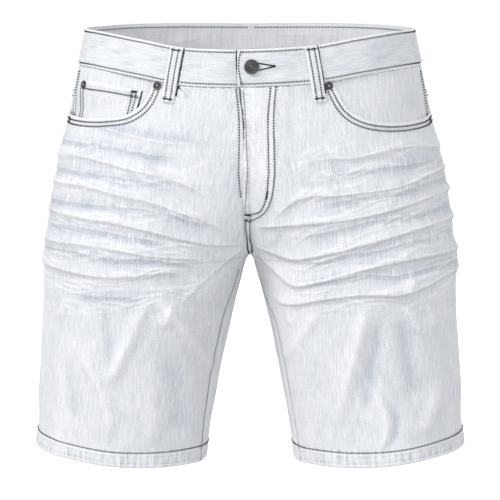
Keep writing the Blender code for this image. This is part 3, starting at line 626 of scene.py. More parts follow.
    @classmethod
    def puckers(cls, part: Part, side: Side, a: Array, v: Array) -> Array:
        """How far the gathers under the waist seam, in the fly and in the hem lift the cloth.

        Args:
            part: The panel of the half.
            side: The wearer's side.
            a: Places along the cloth.
            v: The rows.
        Returns:
            The lift, in metres.
        """
        phase = 1.3 * side.value + (2.1 if part is Part.BACK else 0.0)
        waist = 0.00036 * cls.gathers(a, 0.0105, phase) * bell(v - 0.041, 0.014, 1.0)
        hem = 0.00062 * cls.gathers(a, 0.0082, phase + 0.8) * smooth(0.4445, 0.4530, v)
        fly = 0.0
        if part is Part.FRONT and side is Side.LEFT:
            folds = (bell(a - 0.0015 - 0.25 * (v - 0.04), 0.0022)
                     + 0.8 * bell(a - 0.0100 - 0.10 * (v - 0.04), 0.0024))
            fly = 0.0010 * folds * smooth(0.039, 0.046, v) * (1 - smooth(0.055, 0.080, v))
        return waist * smooth(0.036, 0.041, v) + hem + fly

    @classmethod
    def marks(cls, here: Array) -> dict[str, Array]:
        """What the wash does along the folds, and the light and shade painted along them.

        Args:
            here: Points of the form.
        Returns:
            Named values at each point: the distances to the nearest crest and blue line, how
            strong each of them is, the painted shade under the crests and on the inner thighs, the
            blue between them, and how worn the soft folds are, with painted light and shade in it.
        """
        x, y, z = np.moveaxis(here, -1, 0)
        front = 1 - smooth(*CREASE_TURNS, y)
        out = unmarked(x.shape)
        for ridges, share in ((cls.RIDGES + cls.MINOR, front), (cls.BACK_RIDGES, 1 - front)):
            for ridge in ridges:
                up, left = ridge.across(x, z)
                strong = left * share * min(1.0, ridge.tall / 0.0036)
                near = (strong > 0.02) & (np.abs(up) < np.abs(out["crest"]))
                out["crest"] = np.where(near, up, out["crest"])
                reach = strong * (1 - smooth(0.0034, 0.0056, np.abs(up)))
                out["crest_k"] = np.maximum(out["crest_k"], reach)
                # Painted shade below each crest, on its side away from the light.
                below = np.where(up < 0, bell(up, 0.0050, 1.6), bell(up, 0.0012))
                out["under"] = np.maximum(out["under"], strong * below)
        for line in cls.BLUE_LINES:
            up, left = Ridge(0.0, 0.0, 0.0, line).across(x, z)
            strong = left * front
            reach = strong * (1 - smooth(0.0030, 0.0050, np.abs(up)))
            out["valley_k"] = np.maximum(out["valley_k"], reach)
            out["valley"] = np.minimum(out["valley"], np.abs(up) + NO_LINE * (strong < 0.02))
            out["blue"] = np.maximum(out["blue"], strong * bell(up - 0.003, 0.0068))
        up, left = Ridge(0.0, 0.0, 0.0, cls.BLUE_ZONE, (0.015, 0.05)).across(x, z)
        out["blue"] = np.maximum(out["blue"], left * front * bell(up, 0.0055))
        # On the wearer's right, more blue and more painted shade under the crests.
        stronger = 1 + 0.35 * (x < 0)
        out["blue"], out["under"] = out["blue"] * stronger, out["under"] * stronger
        # Painted shade on the inner thighs.
        out["under"] = np.maximum(out["under"], cls.painted_inner_thigh_shade(x, z))
        worn = 0.8 * front * (cls.wrinkles(x, z) - 0.25 * (z > -0.30) * (z < -0.13))
        # Raised drapes are lighter, as wear and as a painted highlight; hollow drapes darker, as
        # painted shade.
        for drapes, share in ((cls.FRONT_DRAPES, front), (cls.BACK_DRAPES, 1 - front)):
            for drape in drapes:
                shape = drape.lift(x, z) / abs(drape.tall)
                worn = worn + share * shape * np.abs(shape) ** 1.5 * min(
                    1.0, abs(drape.tall) / 0.003)
        # Painted light: the inner thigh of the wearer's left leg, by the crotch, is lightened
        # against its shade.
        out["worn"] = worn + 0.9 * front * smooth(-0.225, -0.250, z) * (x > 0) * (
            1 - smooth(0.030, 0.075, x))
        return out

    @staticmethod
    def painted_inner_thigh_shade(x: Array, z: Array) -> Array:
        """Painted shade on the inner thighs, beyond a soft slanting edge.

        Args:
            x: Places across.
            z: Heights.
        Returns:
            How strong the painted shade is, from 0 to 1.
        """
        across = np.where(x < 0, -x, x + 0.004)
        edge = 0.012 + 0.058 * smooth(-0.240, -0.310, z) - 0.012 * smooth(-0.33, -0.43, z)
        inner = 1 - smooth(edge - 0.012, edge + 0.014, across)
        return 0.95 * inner * smooth(-0.236, -0.258, z) * np.where(x < 0, 1.0, 0.02)


def unmarked(shape: tuple[int, ...]) -> dict[str, Array]:
    """The marks of cloth that no fold crosses."""
    marks = {name: np.zeros(shape) for name in ("crest_k", "valley_k", "under", "blue")}
    return {**marks, **{name: np.full(shape, NO_LINE) for name in ("crest", "valley")}}


# ------------------------------------------------------------------ panels
def tilt(points: Array) -> Array:
    """How far the front of the waist is raised on the left, and lowered on the right.

    Args:
        points: Points of the form, with x, y and z last.
    Returns:
        The change of height, in metres.
    """
    x, y, z = np.moveaxis(points, -1, 0)
    across = np.sin(np.clip(x / 0.17, -1.0, 1.0) * math.pi)
    return BAND_TILT * across * smooth(0.0, -0.05, y) * smooth(-0.150, -0.060, z)


class Panel:
    """The front or the back of one half, measured along the cloth."""

    ROWS, COLUMNS, GRAIN_ROWS = 241, 97, 256
    LONGEST = HEM_DROP + 0.01
    GRAIN_LEVELS = (-0.490, 0.020)
    GRAIN_FROM = 0.53           # where the straight grain runs, as a share of the half width

    def __init__(self, part: Part) -> None:
        """Measures the panel's rows.

        Args:
            part: Which panel.
        """
        self.part = part
        v, q = np.meshgrid(np.linspace(0, self.LONGEST, self.ROWS),
                           np.linspace(0, 1, self.COLUMNS), indexing="ij")
        along = travelled(Form.tube(*Form.place(part, q, v)))
        self.widths = along[:, -1]
        self.shares = np.stack([np.interp(q[0], row / row[-1], q[0]) for row in along])

        levels, q = np.meshgrid(np.linspace(*self.GRAIN_LEVELS, self.GRAIN_ROWS),
                                np.linspace(0, 1, self.COLUMNS), indexing="ij")
        begin = Form.start_w(part, levels)
        points = Form.tube(begin + (SIDE_SEAM_W - begin) * q, levels)
        straight = self.GRAIN_FROM * spline(*Form.SECTIONS.T[:2], levels[:, 0])
        self.grains = np.stack([row - np.interp(at, np.maximum.accumulate(x), row) for
                                row, x, at in zip(travelled(points), points[..., 0], straight)])

    def share_at(self, a: Array, v: Array) -> Array:
        """The share of the way to the side seam of places along the cloth.

        Args:
            a: Places along the cloth.
            v: The rows.
        Returns:
            The shares, from 0 at the middle to 1 at the side seam.
        """
        share = np.clip(np.abs(a) / self.width(v), 0.0, 1.0)
        return grid_value(self.shares, v / self.LONGEST * (self.ROWS - 1),
                          share * (self.COLUMNS - 1))

    def grain(self, side: Side, a: Array, v: Array) -> Array:
        """The distances across and up the straight grain, which is upright in each panel.

        Args:
            side: The wearer's side.
            a: Places along the cloth.
            v: The rows.
        Returns:
            The distances across the grain and up it.
        """
        q = self.share_at(a, v)
        z = Form.height(self.part, q, v)
        low, high = self.GRAIN_LEVELS
        across = grid_value(self.grains, (z - low) / (high - low) * (self.GRAIN_ROWS - 1),
                            q * (self.COLUMNS - 1))
        return np.stack([side.value * (across + 0.3) + np.where(a < 0, a, 0.0), z], -1)

    def width(self, v: Array | float) -> Array:
        """How wide the cloth is at drop v, from the middle or the inseam to the side seam."""
        return np.interp(v, np.linspace(0, self.LONGEST, self.ROWS), self.widths)

    def on_form(self, side: Side, a: Array, v: Array) -> tuple[Array, Array]:
        """Points of the bare form and the unit directions away from it.

        Args:
            side: The wearer's side.
            a: Places along the cloth.
            v: The rows.
        Returns:
            The points, and the unit directions away from the form.
        """
        w, z = Form.place(self.part, self.share_at(a, v), v)
        step = 1e-4
        outward = unit(np.cross(Form.tube(w + step, z) - Form.tube(w - step, z),
                                Form.tube(w, z + step) - Form.tube(w, z - step)))
        own = np.where(a < 0, -side.value, side.value)
        flipped = np.stack([own, np.ones_like(own), np.ones_like(own)], -1)
        return Form.tube(w, z) * flipped, outward * flipped

    def point(self, side: Side, a: Array, v: Array, lift: Array | float = 0.0) -> Array:
        """Points of the cloth, with its folds.

        Args:
            side: The wearer's side.
            a: Distances from the middle or the inseam.
            v: Drops.
            lift: How far off the form.
        Returns:
            The points.
        """
        a, v, lift = np.broadcast_arrays(np.asarray(a, float), v, lift)
        here, outward = self.on_form(side, a, v)
        folds = FoldMap.lift(here) + FoldMap.puckers(self.part, side, a, v)
        here = here + outward * (lift + folds)[..., None]
        here[..., 2] += tilt(here)
        return here

    def pin(self, side: Side, a: Array, v: Array, lift: Array | float) -> tuple[Array, Array]:
        """Points off the form, and the directions away from the cloth there."""
        here = self.point(side, a, v, lift)
        return here, unit(self.point(side, a, v, lift + PROBE) - here)

    def distance(self, side: Side, x: float, v: float) -> float:
        """The distance along the cloth at which row v is at x.

        Args:
            side: The wearer's side.
            x: The place across.
            v: The row.
        Returns:
            The distance along the cloth.
        """
        a = np.linspace(0, 1, 200) * self.width(v)
        reached = np.abs(self.on_form(Side.LEFT, a, np.full_like(a, v))[0][..., 0])
        rising = np.maximum.accumulate(reached)
        return math.copysign(float(np.interp(abs(x), rising, a)), x * side.value)


FRONT, BACK = Panel(Part.FRONT), Panel(Part.BACK)


# ------------------------------------------------------------------ lines on the cloth
@dataclass(frozen=True)
class Way:
    """A line on a panel, through places along the cloth."""

    panel: Panel
    side: Side
    places: Points
    lift: float = 0.0

    def soft(self, pitch: float) -> Array:
        """Close places along the line, as a smooth curve through the given ones.

        Args:
            pitch: The distance between places.
        Returns:
            The places, close together.
        """
        known = np.array(self.places, float)
        run = travelled(known)
        at = np.linspace(0.0, run[-1], max(3, int(run[-1] / pitch) + 1))
        between = np.interp if len(known) < 3 else lambda x, knots, row: spline(knots, row, x)
        return np.stack([between(at, run, column) for column in known.T])

    def depth(self, a: Array, v: Array) -> Array | float:
        """How far what the line lies on is off the form."""
        return 0.0

    def laid(self, pitch: float) -> tuple[Array, Array]:
        """The line's close points on the cloth, and the directions away from it there."""
        a, v = self.soft(pitch)
        return self.panel.pin(self.side, a, v, self.depth(a, v) + self.lift)


def row_of(panel: Panel, side: Side, a: Array | float, v: Array | float,
           lift: float = 0.0) -> Way:
    """A line through the places of two rows of numbers, one of which may be a single one."""
    a, v = np.broadcast_arrays(a, v)
    return Way(panel, side, list(zip(a, v)), lift)


def beside(places: Points, off: float, pitch: float = 0.0015) -> Points:
    """A line at an equal distance from another one.

    Args:
        places: Places along the cloth.
        off: The distance, to the left of the line's direction as (a, v) are drawn.
        pitch: How close the new places are.
    Returns:
        The places of the new line.
    """
    close = resample(np.pad(np.array(places), ((0, 0), (0, 1))), pitch)
    way = unit(np.gradient(close[:, :2], axis=0))
    moved = close[:, :2] + off * np.stack([-way[:, 1], way[:, 0]], 1)
    keep = [0]
    for k in range(1, len(moved)):
        if np.dot(moved[k] - moved[keep[-1]], way[k]) > pitch * 0.4:
            keep.append(k)
    return [tuple(row) for row in moved[keep]]


def shifted(places: Points, a: float = 0.0, v: float = 0.0) -> Points:
    """The same places, moved along the cloth."""
    return [(one + a, two + v) for one, two in places]


@dataclass(frozen=True)
class Strip:
    """A worn strip of cloth along a line, with its half width and how worn it is."""

    way: Way
    half: float
    worn: float = 1.0


# ------------------------------------------------------------------ finishes
class Nodes:
    """A small helper that adds nodes to one material and links them."""

    def __init__(self, name: str, **constants: object) -> None:
        """Starts a material.

        Args:
            name: The material's name.
            constants: Values of the shader's own sockets, by name with _ for a space.
        """
        self.material = bpy.data.materials.new(name)
        self.material.use_nodes = True
        self.tree = self.material.node_tree
        self.shader = self.tree.nodes["Principled BSDF"]
        self.column = 0
        for key, value in constants.items():
            self.shader.inputs[key.replace("_", " ")].default_value = value

    def add(self, kind: str, inputs: dict[int | str, object] | None = None,
            **settings: object) -> bpy.types.Node:
        """Adds a node.

        Args:
            kind: The node's type, without its first word.
            inputs: Values or sockets for its inputs.
            settings: Values for its own settings.
        Returns:
            The node.
        """
        node = self.tree.nodes.new(f"ShaderNode{kind}")
        self.column += 1
        node.location = (-180 * (1 + self.column // 6), 600 - 200 * (self.column % 6))
        for key, value in settings.items():
            setattr(node, key, value)
        for key, value in (inputs or {}).items():
            self.join(value, node.inputs[key])
        return node

    def join(self, value: object, socket: Socket) -> None:
        """Links an output to a socket, or sets the socket's value.

        Args:
            value: An output, or the socket's value.
            socket: The input to set or to link to.
        """
        if isinstance(value, Socket):
            self.tree.links.new(value, socket)
        else:
            socket.default_value = value

    def math(self, operation: str, *values: object, clamp: bool = False) -> Socket:
        """The result of a sum on numbers or sockets."""
        return self.add("Math", dict(enumerate(values)), operation=operation,
                        use_clamp=clamp).outputs[0]

    def times(self, *values: object) -> Socket:
        """The product of numbers or sockets.

        Args:
            values: Numbers or sockets.
        Returns:
            The product.
        """
        product = self.math("MULTIPLY", *values[:2])
        for value in values[2:]:
            product = self.math("MULTIPLY", product, value)
        return product

    def plus(self, total: object, value: Socket, share: object) -> Socket:
        """A total with a share of a value added."""
        return self.math("MULTIPLY_ADD", value, share, total)

    def ranged(self, value: Socket, low: float, high: float, to_low: float = 0.0,
               to_high: float = 1.0) -> Socket:
        """A number moved smoothly from one range to another."""
        return self.add("MapRange", {0: value, 1: low, 2: high, 3: to_low, 4: to_high},
                        interpolation_type="SMOOTHSTEP").outputs[0]

    def mark(self, name: str) -> Socket:
        """One of the mesh's marks."""
        return self.add("Attribute", attribute_name=name).outputs["Fac"]

    def marks(self, name: str) -> tuple[Socket, ...]:
        """The three numbers of one of the mesh's marks."""
        vector = self.add("Attribute", attribute_name=name).outputs["Vector"]
        return tuple(self.add("SeparateXYZ", {0: vector}).outputs)

    def noise(self, place: Socket, scale: float, detail: float = 2.0,
              rough: float = 0.5) -> Socket:
        """Soft noise from 0 to 1."""
        return self.add("TexNoise", {"Vector": place, "Scale": scale, "Detail": detail,
                                     "Roughness": rough}).outputs[0]

    def stretched(self, place: Socket, across: float, up: float, turn: float = 0.0) -> Socket:
        """A place, turned in the plane of the cloth and scaled across and up it."""
        return self.add("Mapping", {"Vector": place, "Rotation": (0.0, 0.0, turn),
                                    "Scale": (across, up, 1.0)}).outputs[0]

    def woven(self, place: Socket, across: float, up: float, detail: float = 2.0,
              rough: float = 0.5, turn: float = 0.0) -> Socket:
        """Noise that is stretched along the cloth."""
        return self.noise(self.stretched(place, across, up, turn), 1.0, detail, rough)

    def mixed(self, share: object, low: object, high: object, blend: str = "MIX") -> Socket:
        """A mix of two colours."""
        return self.add("Mix", {0: share, 6: low, 7: high}, data_type="RGBA",
                        blend_type=blend).outputs[2]

    def bump(self, height: Socket, deep: float, after: Socket | None = None) -> Socket:
        """A bump of the given depth in metres, on top of another one.

        Args:
            height: The height, from 0 to 1.
            deep: How deep the bump is, in metres.
            after: The normal that this one is added to.
        Returns:
            The new normal.
        """
        node = self.add("Bump", {"Strength": 1.0, "Distance": deep, "Height": height})
        if after is not None:
            self.join(after, node.inputs["Normal"])
        return node.outputs[0]

    def finish(self, colour: Socket, normal: Socket) -> bpy.types.Material:
        """Joins the colour and the bumps to the shader, and gives the material.

        Args:
            colour: The base colour.
            normal: The normal with its bumps.
        Returns:
            The material.
        """
        self.join(colour, self.shader.inputs["Base Color"])
        self.join(normal, self.shader.inputs["Normal"])
        return self.material


@dataclass(frozen=True)
class WashedDenim:
    """Light denim: slubby twill, bleached on crests and edges, bluish in folds, with painted shade
    and shadows.
    """

    # the near-black core of the painted shadow lines
    painted_shadow_black: tuple[float, ...] = (0.050, 0.056, 0.075, 1.0)
    deep: tuple[float, ...] = (0.330, 0.370, 0.450, 1.0)
    cool: tuple[float, ...] = (0.570, 0.610, 0.680, 1.0)
    pale: tuple[float, ...] = (0.815, 0.832, 0.860, 1.0)
    bleached: tuple[float, ...] = (0.950, 0.952, 0.958, 1.0)
    # the colour of the painted shade under the crests and on the inner thighs
    painted_shade_grey: tuple[float, ...] = (0.600, 0.600, 0.615, 1.0)
    reverse: tuple[float, ...] = (0.975, 0.975, 0.980, 1.0)
    wash: float = 0.66
    # scale across and up, detail, roughness and share in the wash of each kind of yarn or stain
    slub: tuple[float, ...] = (980.0, 52.0, 2.0, 0.60, 0.32)
    streak: tuple[float, ...] = (330.0, 17.0, 2.0, 0.55, 0.13)
    weft: tuple[float, ...] = (80.0, 1100.0, 2.0, 0.50, 0.08)
    patch: tuple[float, ...] = (24.0, 17.0, 3.0, 0.55, 0.34)
    mottle: tuple[float, ...] = (150.0, 110.0, 2.0, 0.50, 0.09)

    def folded(self, n: Nodes, wash: Socket, ragged: Socket, mottle: Socket) -> Socket:
        """The wash with what it does along the folds, and the painted highlight, shade and shadow
        lines.

        Args:
            n: The material's nodes.
            wash: How light the cloth is so far.
            ragged: A small unevenness of the lines, in metres.
            mottle: Noise that breaks the lines.
        Returns:
            How light the cloth is.
        """
        crest, crest_k = n.math("ADD", n.mark("crest"), ragged), n.mark("crest_k")
        # The crest's line is bleached wear that is also a painted highlight; lee is painted shade
        # just below the crest.
        line = n.times(n.ranged(crest, 0.0026, 0.0008), n.ranged(crest, -0.0010, 0.0002),
                       n.ranged(mottle, 0.36, 0.56, 0.25, 1.0), 0.55)
        lee = n.times(n.ranged(crest, -0.0046, -0.0016), n.ranged(crest, 0.0002, -0.0012), -0.14)
        wash = n.plus(n.plus(wash, line, crest_k), lee, crest_k)
        wash = n.plus(n.plus(wash, n.mark("worn"), 0.20), n.mark("blue"), -0.16)
        valley = n.ranged(n.math("ADD", n.mark("valley"), ragged), 0.0015, 0.0001)
        thin = n.times(valley, n.mark("valley_k"), n.ranged(mottle, 0.40, 0.60))
        # Painted shadow: near-black lines beside the belt loops, the band's lapped end, the waist
        # seam, the fly's lapped edge and the coin pocket.
        shade = n.math("ABSOLUTE", n.math("SUBTRACT", n.mark("shade"), 1.0))
        shade = n.ranged(n.math("ADD", shade, ragged), 0.0015, 0.0002)
        return n.plus(n.plus(wash, thin, -0.15), shade, -0.95)

    def ramp(self, n: Nodes, wash: Socket) -> Socket:
        """The colour of the cloth by how light it is washed.

        Args:
            n: The material's nodes.
            wash: How light the cloth is washed, from 0 to 1.
        Returns:
            The colour.
        """
        ramp = n.add("ValToRGB", {0: wash})
        stops = ramp.color_ramp.elements
        stops[0].position, stops[0].color = 0.0, self.painted_shadow_black
        stops[1].position, stops[1].color = 0.98, self.bleached
        for at, colour in ((0.14, self.deep), (0.34, self.cool), (0.66, self.pale)):
            stops.new(at).color = colour
        return ramp.outputs[0]

    def build(self) -> bpy.types.Material:
        """Makes the material.

        Returns:
            The material.
        """
        n = Nodes("washed_denim", Roughness=0.88, Specular_IOR_Level=0.22, Sheen_Weight=0.14,
                  Sheen_Roughness=0.55)
        place = n.add("UVMap", uv_map="cloth").outputs[0]
        kinds = (self.slub, self.streak, self.weft, self.patch, self.mottle)
        noises = [n.woven(place, *kind[:4]) for kind in kinds]
        slub, mottle = noises[0], noises[-1]
        wash = self.wash - sum(kind[4] for kind in kinds) / 2
        for noise, kind in zip(noises, kinds):
            wash = n.plus(wash, noise, kind[4])
        ragged = n.plus(-0.0011, n.woven(place, 300.0, 300.0), 0.0022)
        wash = self.folded(n, wash, ragged, mottle)

        along, across, worn = n.marks("strip")
        in_strip = n.times(n.ranged(across, 1.05, 0.70), worn)
        # Painted shade: a darker band just beside each worn strip.
        gutter = n.times(n.ranged(across, 0.75, 1.05), n.ranged(across, 2.3, 1.1), worn)
        slant = n.plus(n.plus(n.times(along, 2900.0), across, 2.6), mottle, 9.0)
        rope = n.ranged(n.math("SINE", slant), -0.6, 0.95)
        wash = n.plus(wash, n.plus(0.20, rope, 0.14), in_strip)
        run, off, plain = n.marks("thread")
        level = n.add("SeparateXYZ", {0: place}).outputs[1]
        hatch = n.math("SUBTRACT", n.woven(place, 270.0, 26.0, 2.0, 0.6, 0.10), 0.5)
        # Painted shade along the stitched lines, where the thread pulls the cloth in; the same
        # mask also bumps it.
        groove = n.ranged(off, 0.0014, 0.0002)
        for value, share in ((gutter, -0.13), (groove, -0.16),
                             (n.times(hatch, n.ranged(level, -0.4475, -0.4510)), 1.5)):
            wash = n.plus(wash, value, share)

        inside, blue = n.mark("inside"), n.mark("blue")
        # Painted shade: cool streaks on the inner face, for the shade of small folds there.
        folds = n.noise(n.add("CombineXYZ", {0: n.plus(n.times(run, 330.0), off, 50.0),
                                             1: n.times(off, 25.0)}).outputs[0], 1.0, 3.0, 0.6)
        folds = n.times(n.ranged(folds, 0.34, 0.74), inside)
        colour = self.ramp(n, wash)
        # Mixed in: the painted shade under the crests and on the inner thighs, the whiter reverse
        # of the cloth inside, and the painted shade of the inner face's folds.
        for value, share, over in ((n.mark("under"), 0.42, self.painted_shade_grey),
                                   (inside, 0.82, self.reverse), (folds, 0.36, self.cool)):
            colour = n.mixed(n.times(value, share), colour, over)
        speck = n.woven(place, 760.0, 620.0, 2.0, 0.6)
        tone = n.plus(n.plus(-0.53, slub, 0.56), speck, 0.50)
        strong = n.plus(n.plus(n.times(plain, 0.92), blue, 0.40), inside, -0.30)
        colour = n.mixed(1.0, colour, n.plus(1.0, tone, strong), "MULTIPLY")

        twill = n.add("TexWave", {
            "Vector": n.stretched(place, 1.0, 1.0, math.radians(28)),
            "Scale": 290.0, "Distortion": 1.2, "Detail": 2.0, "Detail Scale": 1.5},
            wave_type="BANDS", bands_direction="X").outputs["Fac"]
        crease = n.add("TexNoise", {
            "Vector": n.stretched(place, 36.0, 15.0, 0.35), "Scale": 1.0, "Detail": 2.5,
            "Roughness": 0.45, "Lacunarity": 2.3, "Offset": 0.9, "Gain": 1.6},
            noise_type="RIDGED_MULTIFRACTAL").outputs[0]
        rows = n.math("SINE", n.times(run, 2 * math.pi / Sewing.PITCH))
        stitched = n.math("SUBTRACT", n.times(groove, -1.0),
                          n.times(rows, n.ranged(off, 0.0040, 0.0004), 0.22))
        normal = None
        for height, deep in (
                (twill, 0.00009), (n.woven(place, 1700.0, 260.0), 0.00022), (slub, 0.00026),
                (n.woven(place, 210.0, 150.0, 3.0), 0.00034), (crease, 0.00070),
                (stitched, 0.00045), (n.times(rope, in_strip), 0.00016)):
            normal = n.bump(height, deep, normal)
        return n.finish(colour, normal)


@dataclass(frozen=True)
class SewingThread:
    """Twisted thread."""

    name: str
    colour: tuple[float, ...]
    worn: tuple[float, ...]

    def build(self) -> bpy.types.Material:
        """Makes the material.

        Returns:
            The material.
        """
        n = Nodes(self.name, Roughness=0.72, Sheen_Weight=0.10)
        place = n.add("TexCoord").outputs["Object"]
        fade, fuzz = n.noise(place, 320.0), n.noise(place, 3800.0)
        colour = n.mixed(n.ranged(fade, 0.42, 0.70), self.colour, self.worn)
        colour = n.mixed(n.times(n.ranged(fuzz, 0.55, 0.85), 0.25), colour, self.worn)
        return n.finish(colour, n.bump(fuzz, 0.00012))


@dataclass(frozen=True)
class Gunmetal:
    """Dark plated metal, rubbed bright on its raised edges."""

    dark: tuple[float, ...] = (0.034, 0.034, 0.033, 1.0)
    bright: tuple[float, ...] = (0.420, 0.415, 0.400, 1.0)

    def build(self) -> bpy.types.Material:
        """Makes the material.

        Returns:
            The material.
        """
        n = Nodes("gunmetal", Metallic=0.85)
        place = n.add("TexCoord").outputs["Object"]
        cloud = n.noise(place, 900.0, 3.0, 0.6)
        rubbed = n.math("MULTIPLY_ADD", n.ranged(cloud, 0.45, 0.80), 0.30, n.mark("rubbed"),
                        clamp=True)
        n.join(n.ranged(cloud, 0.3, 0.8, 0.30, 0.52), n.shader.inputs["Roughness"])
        return n.finish(n.mixed(rubbed, self.dark, self.bright),
                        n.bump(n.noise(place, 4200.0), 0.00004))


@dataclass
class Finishes:
    """The three finishes of the shorts, and the pale thread of one seam."""

    denim: bpy.types.Material = field(default_factory=lambda: WashedDenim().build())
    thread: bpy.types.Material = field(default_factory=lambda: SewingThread(
        "dark_thread", (0.004, 0.005, 0.008, 1.0), (0.018, 0.021, 0.030, 1.0)).build())
    pale_thread: bpy.types.Material = field(default_factory=lambda: SewingThread(
        "grey_thread", (0.300, 0.320, 0.360, 1.0), (0.480, 0.500, 0.540, 1.0)).build())
    metal: bpy.types.Material = field(default_factory=lambda: Gunmetal().build())


# ------------------------------------------------------------------ meshes
def finished(name: str, points: Array, faces: list, material: bpy.types.Material) -> Piece:
    """Puts a new mesh in the scene as a smooth piece that rides on the garment.

    Args:
        name: The piece's name.
        points: Its points.
        faces: The points of each face.
        material: Its finish.
    Returns:
        The object.
    """
    mesh = bpy.data.meshes.new(name)
    mesh.from_pydata(points.reshape(-1, 3).tolist(), [], faces)
    mesh.materials.append(material)
    mesh.validate()
    mesh.shade_smooth()
    piece = bpy.data.objects.new(name, mesh)
    bpy.context.scene.collection.objects.link(piece)
    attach(piece, "root")
    LOG.info("%s: %d faces", name, len(mesh.polygons))
    return piece


@dataclass(frozen=True)
class Cut:
    """What a piece of cloth stands for: its node, the size it was cut to, and its finish."""

    node: str
    flat: tuple[float, float]
    finishes: Finishes

    def dressed(self, points: Array, faces: list, uv: Array, marks: dict[str, Array]) -> Piece:
        """Makes the piece, with its places along the cloth and its named marks.

        Args:
            points: Its points.
            faces: The points of each face.
            uv: Two numbers for each point.
            marks: One or three numbers for each point, by name.
        Returns:
            The object.
        """
        piece = finished(f"{self.node}_cloth", points, faces, self.finishes.denim)
        mesh = piece.data
        corners = np.empty(len(mesh.loops), dtype=np.int64)
        mesh.loops.foreach_get("vertex_index", corners)
        layer = mesh.uv_layers.new(name="cloth")
        layer.data.foreach_set("uv", uv[corners].astype(np.float32).ravel())
        for name, values in marks.items():
            kind, key = (("FLOAT", "value") if values.ndim == 1 else ("FLOAT_VECTOR", "vector"))
            column = mesh.attributes.new(name, kind, "POINT")
            column.data.foreach_set(key, values.astype(np.float32).ravel())
        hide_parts(self.node)
        return piece


def quads(grid: Array) -> Array:
    """The four-cornered faces between the points of a grid of numbers."""
    return np.stack([grid[:-1, :-1], grid[:-1, 1:], grid[1:, 1:], grid[1:, :-1]],
                    -1).reshape(-1, 4)


def turned_out(face: Array, across: Array, down: Array, out: Array) -> Array:
    """The faces, turned round where they would point inwards.

    Args:
        face: Four-cornered faces of a grid.
        across: The direction along one of its rows.
        down: The direction along one of its columns.
        out: The outward direction there.
    Returns:
        The faces.
    """
    return face if np.dot(np.cross(across, down), out) > 0 else face[:, ::-1]


def closed_shell(cut: Cut, outer: Array, inner: Array, uv: Array,
                 marks: dict[str, Array]) -> Piece:
    """A piece of cloth whose two faces meet at its borders.

    Args:
        cut: What the piece stands for.
        outer: A grid of points on the outer face.
        inner: The same grid on the inner face; its borders are the outer ones.
        uv: Places along the cloth.
        marks: Named values at the outer points.
    Returns:
        The object.
    """
    rows, columns = outer.shape[:2]
    front = np.arange(rows * columns).reshape(rows, columns)
    middle = (slice(1, rows - 1), slice(1, columns - 1))
    behind = front.copy()
    count = behind[middle].size
    behind[middle] = rows * columns + np.arange(count).reshape(rows - 2, columns - 2)
    r, c = rows // 2, columns // 2
    sides = [turned_out(quads(grid), outer[r, c + 1] - outer[r, c], outer[r + 1, c] - outer[r, c],
                        sign * (outer[r, c] - inner[r, c]))
             for grid, sign in ((front, 1), (behind, -1))]

    def both(face: Array, back: Array) -> Array:
        """Values at the points of the outer face, and at the inner ones behind them."""
        return np.concatenate([face.reshape(rows * columns, -1),
                               back[middle].reshape(count, -1)])

    full = {key: both(value, value).squeeze() for key, value in marks.items()}
    full["inside"] = np.repeat((0.0, 1.0), (rows * columns, count))
    return cut.dressed(both(outer, inner), np.concatenate(sides).tolist(), both(uv, uv), full)


def closed_strap(cut: Cut, rings: Array, uv: Array, marks: dict[str, Array],
                 endless: bool = False) -> Piece:
    """A piece made of closed rings of points, one after another.

    Args:
        cut: What the piece stands for.
        rings: Points by ring and by place in the ring.
        uv: Places along the cloth.
        marks: Named values at the points.
        endless: Whether the last ring joins the first.
    Returns:
        The object.
    """
    count, size = rings.shape[:2]
    grid = np.pad(np.arange(count * size).reshape(count, size), ((0, 0), (0, 1)), "wrap")
    grid = np.concatenate([grid, grid[:1]]) if endless else grid
    ring, after = rings[count // 2], rings[count // 2 + 1]
    faces = turned_out(quads(grid), ring[1] - ring[0], after[0] - ring[0],
                       ring[0] - ring.mean(0))
    ends = [] if endless else [grid[0, :size], grid[-1, :size][::-1]]
    if faces[0, 0] != grid[0, 0]:
        ends = [end[::-1] for end in ends]
    flat = {key: value.reshape(count * size, -1).squeeze() for key, value in marks.items()}
    return cut.dressed(rings, faces.tolist() + [end.tolist() for end in ends],
                       uv.reshape(-1, 2), flat)


def bend(deep: float = CLOTH / 2, count: int = 4) -> Array:
    """Distances from an edge out to where it is rounded, closest at the edge."""
    return deep * (1 - np.cos(np.linspace(0, math.pi / 2, count)))


def eased(inner: Array, length: float, ends: Array) -> Array:
    """Places from 0 to a length, with the close ones of its rounded ends added."""
    return np.concatenate([ends[:-1], inner, (length - ends[:-1])[::-1]])


def rim(length: float, pitch: float, deep: float) -> Array:
    """Places from 0 to a length, closest at both ends, where the edge is rounded."""
    count = max(3, int(round((length - 2 * deep) / pitch)) + 1)
    return eased(np.linspace(deep, length - deep, count), length, bend(deep))


def shares(wide: float, deep: float, columns: int, rows: int) -> list[Array]:
    """The shares across and down a piece of some size, as grids."""
    return np.meshgrid(rim(1.0, 1 / columns, CLOTH / 2 / wide),
                       rim(1.0, 1 / rows, CLOTH / 2 / deep))


def arch(distance: Array, radius: float) -> Array:
    """The height, from 0 to 1, of a rounded end at a distance from its tip."""
    return np.sqrt(np.maximum(1 - (1 - np.clip(distance / radius, 0, 1)) ** 2, 0.0))


def rounded(edge: Array) -> Array:
    """Half the thickness of cloth at a distance from its edge."""
    return CLOTH / 2 * arch(edge, CLOTH / 2)


def border(s: Array, t: Array, wide: float, deep: float) -> Array:
    """The distance to the nearest edge of a piece, by the shares across and down it."""
    return np.minimum(np.minimum(s, 1 - s) * wide, np.minimum(t, 1 - t) * deep)


